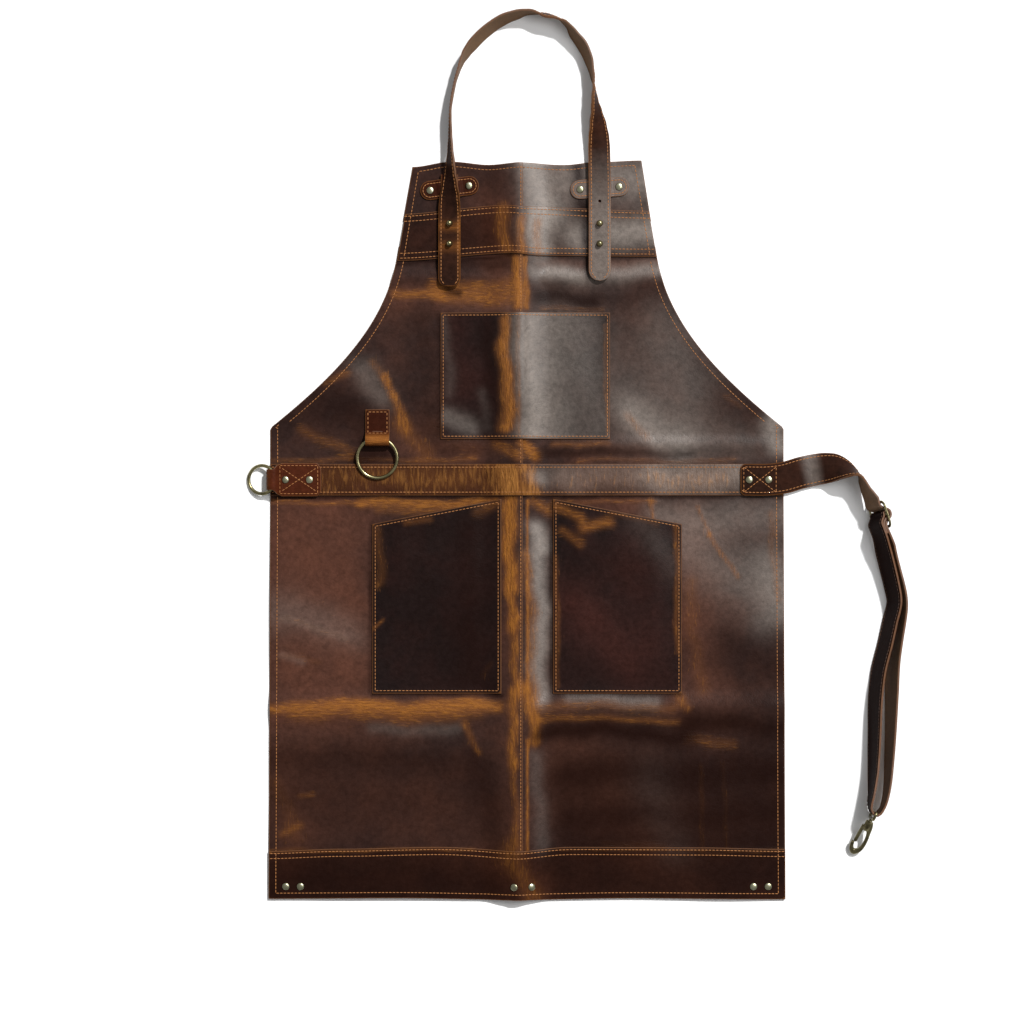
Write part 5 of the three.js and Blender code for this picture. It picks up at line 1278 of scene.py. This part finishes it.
def make_waist_strap():
    placed = lambda rows: stations_of([(*waist_place(out, down), lean, lift) for out, down, lean, lift in rows],
                                      WAIST_WIDTH, STRAP_LEATHER, 2)
    stations = [*placed(WAIST_FIRST_ROWS), *[in_slider(*row) for row in SLIDER_MAIN_ROWS],
                *placed(WAIST_REAR_ROWS), *[in_slider(*row) for row in SLIDER_END_ROWS]]
    stations = refined(stations, 5)
    for station in stations:
        across = station["across"]
        foot = min(0.0, across.z * WAIST_WIDTH) - math.hypot(across.x, across.y) * STRAP_LEATHER / 2
        station["edge"].z = max(station["edge"].z, FLOOR_GAP - foot)
    round_end(stations, SIDE_TAB_CORNER)
    # Painted shade: darker from the turn before the slider and near black on the strands past it, which face away from
    # the light. Painted sheen on the crest where the strap leaves the apron.
    _, places = strip_piece("waist_strap_leather", stations, WAIST_WIDTH, STRAP_LEATHER, STRAP,
                            ["waist_strap"], 12, {"painted_shade": lambda s, r: 0.25 * ramp(r, 120, 150) + 0.75 * ramp(r, 190, 215),
                             "painted_sheen": lambda s, r: 0.4 * bump(r - 84, 16)})
    turn = next(k for k, place in enumerate(places) if place["run"] > 200)
    # The stitches past the turn use the thread with painted shade
    for name, material, start, end in (("stitching", thread, 6, turn), ("lower_stitching", shaded_thread, turn, None)):
        bm = bmesh.new()
        for inset in (3.6, -3.6):
            strip_seam(bm, stations, places, WAIST_WIDTH, STRAP_LEATHER, inset, start, end)
        finish_piece(bm, f"waist_strap_{name}", [material], "apron")
    x0, x1 = SKIRT_WIDTH / 2 - WAIST_TAB_LENGTH + 3.6, SKIRT_WIDTH / 2 - 9
    y0, y1 = -WAIST_WIDTH / 2 + 3.6, WAIST_WIDTH / 2 - 3.6
    top = ON_BELT + STRAP_LEATHER
    sew("waist_strap_end", [[(x0, y0), (x0, y1)], [(x1, y0), (x1, y1)], [(x0, y0), (x1, y1)], [(x0, y1), (x1, y0)]],
        lambda x, y: top)


# Metal
def spun(profile, steps=24):
    """A turned shape from a profile of radius and height, as a closed mesh round the Z axis."""
    bm = bmesh.new()
    verts = [bm.verts.new((radius, 0, height)) for radius, height in profile]
    edges = [bm.edges.new(pair) for pair in zip(verts, verts[1:])]
    bmesh.ops.spin(bm, geom=verts + edges, cent=(0, 0, 0), axis=(0, 0, 1), angle=2 * math.pi, steps=steps,
                   use_merge=True, use_duplicate=False)
    bmesh.ops.remove_doubles(bm, verts=bm.verts, dist=1e-4)
    bmesh.ops.recalc_face_normals(bm, faces=bm.faces)
    return bm


RIVET_RADIUS = 4.3
RIVET_HEIGHT = 1.8
RIVET_SHANK = 1.4


def rivet_profile(depth):
    dome = [(RIVET_RADIUS * math.cos(t), 0.5 + (RIVET_HEIGHT - 0.5) * math.sin(t))
            for t in [math.radians(a) for a in (0, 20, 40, 60, 78, 90)]]
    return [(0, -depth), (RIVET_SHANK, -depth), (RIVET_SHANK, 0), (RIVET_RADIUS - 0.2, 0), *dome[:-1],
            (0, RIVET_HEIGHT)]


def make_rivet(name, x, y, lift, thickness, surface=None):
    """A rivet with a domed cap, standing on the leather's slope."""
    top = (surface or (lambda a, b: drape(a, b) + lift + thickness))
    slope = Vector(((top(x - 3, y) - top(x + 3, y)) / 6, (top(x, y - 3) - top(x, y + 3)) / 6, 1)).normalized()
    bm = spun(rivet_profile(thickness + GAP + LEATHER / 2))
    turn = slope.to_track_quat("Z", "Y").to_matrix().to_4x4()
    bmesh.ops.transform(bm, matrix=Matrix.Translation((x, y, top(x, y) + 0.1)) @ turn, verts=bm.verts)
    finish_piece(bm, f"{name}_cap", [rivet_brass], "apron", [name])


def make_rivets():
    inset, pitch = 20.0, 17.0
    crest = CREST_X - RIVET_SHANK - 2 * GAP
    hem = [-HEM_WIDTH / 2 + inset, -HEM_WIDTH / 2 + inset + pitch, crest, crest + 1.2 * pitch,
           HEM_WIDTH / 2 - inset - pitch, HEM_WIDTH / 2 - inset]
    for k, x in enumerate(hem):
        make_rivet(f"hem_rivet_{k + 1}", x, 15.5 - SKIRT_HEIGHT, 0, 0, sheet_top(band_lift))
    for side, turn in KEEPER_TURNS.items():
        angle = math.radians(turn)
        for k, end in enumerate((-0.5, 0.5)):
            x = keeper_x(side) + end * KEEPER_RIVETS * math.cos(angle)
            y = KEEPER_Y + end * KEEPER_RIVETS * math.sin(angle)
            make_rivet(f"keeper_rivet_{side}_{k + 1}", x, y, LAYER, TAB_LEATHER)
    for k, share in enumerate((0.26, 0.76)):
        make_rivet(f"side_tab_rivet_{k + 1}", SIDE_TAB_LEFT + share * SIDE_TAB_LENGTH, 0, ON_BELT, 2 * TAB_LEATHER)
    for k, share in enumerate(WAIST_TAB_RIVETS):
        make_rivet(f"waist_strap_rivet_{k + 1}", SKIRT_WIDTH / 2 + share * WAIST_TAB_LENGTH, 0, ON_BELT,
                   STRAP_LEATHER)


def make_studs():
    ball, neck, foot = 3.3, 1.5, 5.0
    base = HANGER_UPPER - GAP - 1.2
    collar = STRAP_OVER_BIB + STRAP_LEATHER + 0.1 - base
    middle = collar + 0.8 + ball
    dome = [(ball * math.cos(t), middle + ball * math.sin(t)) for t in [math.radians(a) for a in range(-50, 90, 14)]]
    profile = [(0, 0), (foot, 0), (foot, 1.2), (neck, 1.2), (neck, collar), (ball + 0.5, collar),
               (ball + 0.5, collar + 0.5), (neck + 0.4, collar + 0.9), *dome, (0, middle + ball)]
    for side in SIDES:
        for k, drop in enumerate(NECK_STUDS):
            bm = spun(profile)
            place = (keeper_x(side), BIB_TOP - drop * NECK_DROP, base)
            bmesh.ops.translate(bm, verts=bm.verts, vec=place)
            name = f"neck_stud_{side}_{k + 1}"
            finish_piece(bm, f"{name}_brass", [brass], "apron", [name])


def make_ring(node, joint, radius):
    """A round wire ring where the part has it: its middle from the node's box, its plane from the joint."""
    low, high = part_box(node)
    middle = (low + high) / 2
    pivot, axis = Vector(joints[joint]["pos_m"]), Vector(joints[joint]["axis"])
    reach = middle - pivot
    reach -= axis * reach.dot(axis)
    up = axis.cross(reach).normalized()
    bm = bmesh.new()
    bmesh.ops.create_circle(bm, segments=16, radius=RING_WIRE_RADIUS)
    bmesh.ops.rotate(bm, verts=bm.verts, matrix=Matrix.Rotation(math.pi / 2, 3, "X"))
    bmesh.ops.translate(bm, verts=bm.verts, vec=(radius, 0, 0))
    bmesh.ops.spin(bm, geom=bm.verts[:] + bm.edges[:], cent=(0, 0, 0), axis=(0, 0, 1), angle=2 * math.pi, steps=72,
                   use_merge=True, use_duplicate=False)
    bmesh.ops.recalc_face_normals(bm, faces=bm.faces)
    turn = Matrix((axis, up.cross(axis).normalized(), up)).transposed().to_4x4()
    centre = (middle - at(0, 0, 0)) / MM
    bmesh.ops.transform(bm, matrix=Matrix.Translation(centre) @ turn, verts=bm.verts)
    finish_piece(bm, f"{node}_brass", [brass], node, [node])


def frame_matrix(x, y, z, place):
    turn = Matrix((x, y, z)).transposed().to_4x4()
    turn.translation = place
    return turn


def rounded_box(width, height, radius, corner_points=6):
    points = []
    for k, (sx, sy) in enumerate(((1, 1), (-1, 1), (-1, -1), (1, -1))):
        for n in range(corner_points):
            angle = math.pi / 2 * (k + n / (corner_points - 1))
            points.append((sx * (width / 2 - radius) + radius * math.cos(angle),
                           sy * (height / 2 - radius) + radius * math.sin(angle)))
    return points


def wire_loop(points, radius, closed=True, resolution=4):
    """A round wire through points, as a closed mesh."""
    curve = bpy.data.curves.new("wire", "CURVE")
    curve.dimensions = "3D"
    curve.bevel_depth = radius
    curve.bevel_resolution = resolution
    curve.use_fill_caps = not closed
    spline = curve.splines.new("POLY")
    spline.points.add(len(points) - 1)
    for point, place in zip(spline.points, points):
        point.co = (*place, 1)
    spline.use_cyclic_u = closed
    carrier = bpy.data.objects.new("wire", curve)
    bpy.context.scene.collection.objects.link(carrier)
    bpy.context.view_layer.update()
    mesh = bpy.data.meshes.new_from_object(carrier.evaluated_get(bpy.context.evaluated_depsgraph_get()))
    bpy.data.objects.remove(carrier)
    bm = bmesh.new()
    bm.from_mesh(mesh)
    bpy.data.meshes.remove(mesh)
    bmesh.ops.remove_doubles(bm, verts=bm.verts, dist=1e-4)
    bmesh.ops.recalc_face_normals(bm, faces=bm.faces)
    return bm


def merge_into(bm, other):
    mesh = bpy.data.meshes.new("joined")
    other.to_mesh(mesh)
    other.free()
    bm.from_mesh(mesh)
    bpy.data.meshes.remove(mesh)


def plate(points, thickness, bevel, segments=3):
    """A plate with a plan outline, its edges rounded over."""
    bm = bmesh.new()
    face = bm.faces.new([bm.verts.new((x, y, -thickness / 2)) for x, y in points])
    made = bmesh.ops.extrude_face_region(bm, geom=[face])
    top = [item for item in made["geom"] if isinstance(item, bmesh.types.BMVert)]
    bmesh.ops.translate(bm, verts=top, vec=(0, 0, thickness))
    bmesh.ops.recalc_face_normals(bm, faces=bm.faces)
    rims = [edge for edge in bm.edges if abs(edge.verts[0].co.z - edge.verts[1].co.z) < 1e-6]
    bmesh.ops.bevel(bm, geom=rims, offset=bevel, offset_type="OFFSET", segments=segments, profile=0.5,
                    affect="EDGES", material=-1)
    return bm


def make_slider():
    bm = wire_loop([(x, y, 0) for x, y in rounded_box(SLIDER_LENGTH - SLIDER_WIRE, 2 * SLIDER_HALF_WIDTH - SLIDER_WIRE,
                                                      SLIDER_CORNER - SLIDER_WIRE / 2, 8)], SLIDER_WIRE / 2)
    bmesh.ops.scale(bm, verts=bm.verts, vec=(1, 1, SLIDER_DEPTH / SLIDER_WIRE))
    merge_into(bm, wire_loop([(0, -SLIDER_HALF_WIDTH + SLIDER_WIRE / 2, 0), (0, SLIDER_HALF_WIDTH - SLIDER_WIRE / 2, 0)],
                             SLIDER_BAR / 2, False))
    bmesh.ops.transform(bm, matrix=frame_matrix(slider_along, slider_across, slider_face, slider_middle),
                        verts=bm.verts)
    finish_piece(bm, "strap_slider_brass", [brass], "apron", ["strap_slider"])


HOOK_LENGTH = 46.0
HOOK_WIDTH = 17.5
HOOK_THICKNESS = 5.0
BARREL_RADIUS = 4.2
STEM_LENGTH = 5.0
STEM_DEPTH = 5.5
STEM_RADIUS = 2.2
GATE_WIDTH = 4.0
GATE_THICKNESS = 3.0
GATE_PIVOT = (0.5, 0.18)
HOOK_OUTER = [
    (0.5, 0), (-0.5, 0), (-0.72, 0.12), (-0.85, 0.3), (-1, 0.52), (-1, 0.72), (-0.8, 0.87), (-0.35, 0.98),
    (0.15, 1), (0.6, 0.93), (0.88, 0.8), (0.9, 0.68), (0.5, 0.68),
]
HOOK_INNER = [
    (0.4, 0.78), (0.1, 0.86), (-0.25, 0.82), (-0.5, 0.7), (-0.52, 0.52), (-0.35, 0.34), (-0.1, 0.26), (0.5, 0.26),
]


def hook_frame():
    """The hook's own frame: Y along it to its tip, Z out of its face."""
    along = Vector(joints["hook_swivel"]["axis"]).normalized()
    face = Vector(joints["gate_hinge"]["axis"]).normalized()
    place = (Vector(joints["hook_swivel"]["pos_m"]) - at(0, 0, 0)) / MM
    return frame_matrix(along.cross(face), along, face, place)


def softened(rows, steps=4):
    """A smooth outline through a table's rows."""
    points = [Vector((x * HOOK_WIDTH / 2, y * HOOK_LENGTH, 0)) for x, y in rows]
    made = [curve_point(points, k, n / steps) for k in range(len(points) - 1) for n in range(steps)]
    return [(p.x, p.y) for p in [*made, points[-1]]]


def make_hook():
    hook = hook_frame()
    outline = [*softened(HOOK_OUTER[1:-1]), *[(x * HOOK_WIDTH / 2, y * HOOK_LENGTH) for x, y in HOOK_OUTER[-1:]],
               *softened(HOOK_INNER)]
    outline.append((0.5 * HOOK_WIDTH / 2, 0.0))
    bm = plate(outline, HOOK_THICKNESS, 1.5)
    barrel = [(0, -0.2), (BARREL_RADIUS - 0.6, -0.2), (BARREL_RADIUS, 0.5), (BARREL_RADIUS, 10), (BARREL_RADIUS - 1.2, 12),
              (0, 13)]
    turned = spun(barrel)
    bmesh.ops.rotate(turned, verts=turned.verts, matrix=Matrix.Rotation(-math.pi / 2, 3, "X"))
    merge_into(bm, turned)
    bmesh.ops.transform(bm, matrix=hook, verts=bm.verts)
    finish_piece(bm, "hook_body_brass", [dark_brass], "hook", ["hook_body"])
    length = 0.53 * HOOK_LENGTH
    bm = plate(rounded_box(GATE_WIDTH, length, 0.45 * GATE_WIDTH), GATE_THICKNESS, 0.8)
    shift = Matrix.Translation((GATE_PIVOT[0] * HOOK_WIDTH / 2, GATE_PIVOT[1] * HOOK_LENGTH + length / 2 - GATE_WIDTH / 2, 0))
    bmesh.ops.transform(bm, matrix=hook @ shift, verts=bm.verts)
    finish_piece(bm, "hook_gate_brass", [dark_brass], "gate", ["hook_gate"])


def make_hook_eye():
    pitch = 2 * EYE_WIRE_RADIUS + STRAP_LEATHER + 2 * GAP + 2
    tall = WAIST_WIDTH + 2 * GAP + 2 * EYE_WIRE_RADIUS
    heading = Vector((math.cos(HOOK_HEADING), math.sin(HOOK_HEADING), 0))
    bar = Vector((*waist_place(*EYE_BAR_AT), EYE_WIRE_RADIUS + tall / 2))
    loop = [(x + pitch / 2, y) for x, y in rounded_box(pitch, tall, 2.2, 5)]
    bm = wire_loop([(x, 0, z) for x, z in loop], EYE_WIRE_RADIUS)
    side = Vector((-heading.y, heading.x, 0))
    bmesh.ops.transform(bm, matrix=frame_matrix(heading, side, Vector((0, 0, 1)), bar), verts=bm.verts)
    hook = hook_frame()
    stem = spun([(0, -STEM_LENGTH / 2 - 0.5), (STEM_RADIUS, -STEM_LENGTH / 2 - 0.5), (STEM_RADIUS, STEM_DEPTH + 2),
                 (0, STEM_DEPTH + 2.5)])
    bmesh.ops.rotate(stem, verts=stem.verts, matrix=Matrix.Rotation(-math.pi / 2, 3, "X"))
    bmesh.ops.transform(stem, matrix=hook, verts=stem.verts)
    merge_into(bm, stem)
    finish_piece(bm, "hook_eye_brass", [dark_brass], "apron", ["hook_eye"])


# Stage
CAMERA_PX = (512.0, 512.0)
BELT_PX = (527.0, 479.75)
MM_PER_PX = 1.158
CAMERA_HEIGHT = 4.0


def make_stage():
    bm = bmesh.new()
    bmesh.ops.create_grid(bm, x_segments=4, y_segments=4, size=30.0)
    mesh = bpy.data.meshes.new("floor")
    bm.to_mesh(mesh)
    bm.free()
    material, tree, shader = new_material("white_studio_paper")
    shader.inputs["Base Color"].default_value = linear("#f7f7f7")
    shader.inputs["Roughness"].default_value = 0.9
    mesh.materials.append(material)
    floor = bpy.data.objects.new("floor", mesh)
    bpy.context.scene.collection.objects.link(floor)

    aim = at((CAMERA_PX[0] - BELT_PX[0]) * MM_PER_PX, (BELT_PX[1] - CAMERA_PX[1]) * MM_PER_PX)
    lens = bpy.data.cameras.new("camera")
    lens.sensor_width = 36.0
    lens.lens = 36.0 * CAMERA_HEIGHT / (1024 * MM_PER_PX * MM)
    camera = bpy.data.objects.new("camera", lens)
    camera.location = aim + Vector((0, 0, CAMERA_HEIGHT))
    bpy.context.scene.collection.objects.link(camera)
    bpy.context.scene.camera = camera

    def add_light(name, kind, place, energy, **settings):
        light = bpy.data.lights.new(name, kind)
        light.energy = energy
        for key, value in settings.items():
            setattr(light, key, value)
        lamp = bpy.data.objects.new(name, light)
        lamp.location = place
        lamp.rotation_mode = "QUATERNION"
        lamp.rotation_quaternion = Vector(place).to_track_quat("Z", "Y")
        bpy.context.scene.collection.objects.link(lamp)

    add_light("key", "SUN", (0.6, 0.85, 1.25), 3.7, angle=math.radians(3))
    add_light("side", "AREA", (1.5, 0.5, 2.4), 24.0, shape="DISK", size=1.3)
    world = bpy.data.worlds.new("studio")
    world.use_nodes = True
    world.node_tree.nodes["Background"].inputs["Color"].default_value = (1, 1, 1, 1)
    world.node_tree.nodes["Background"].inputs["Strength"].default_value = 0.32
    bpy.context.scene.world = world
    bpy.context.scene.view_settings.view_transform = "Standard"


make_stage()
make_panels()
make_bands()
make_pockets()
make_body_seams()
make_pocket_seams()
make_keepers()
make_hangers()
make_neck_strap()
make_ring_tab()
make_side_tab()
make_waist_strap()
make_rivets()
make_studs()
make_ring("tool_ring", "tool_ring_swing", TOOL_RING_RADIUS)
make_ring("side_ring", "side_ring_swing", SIDE_RING_RADIUS)
make_slider()
make_hook_eye()
make_hook()
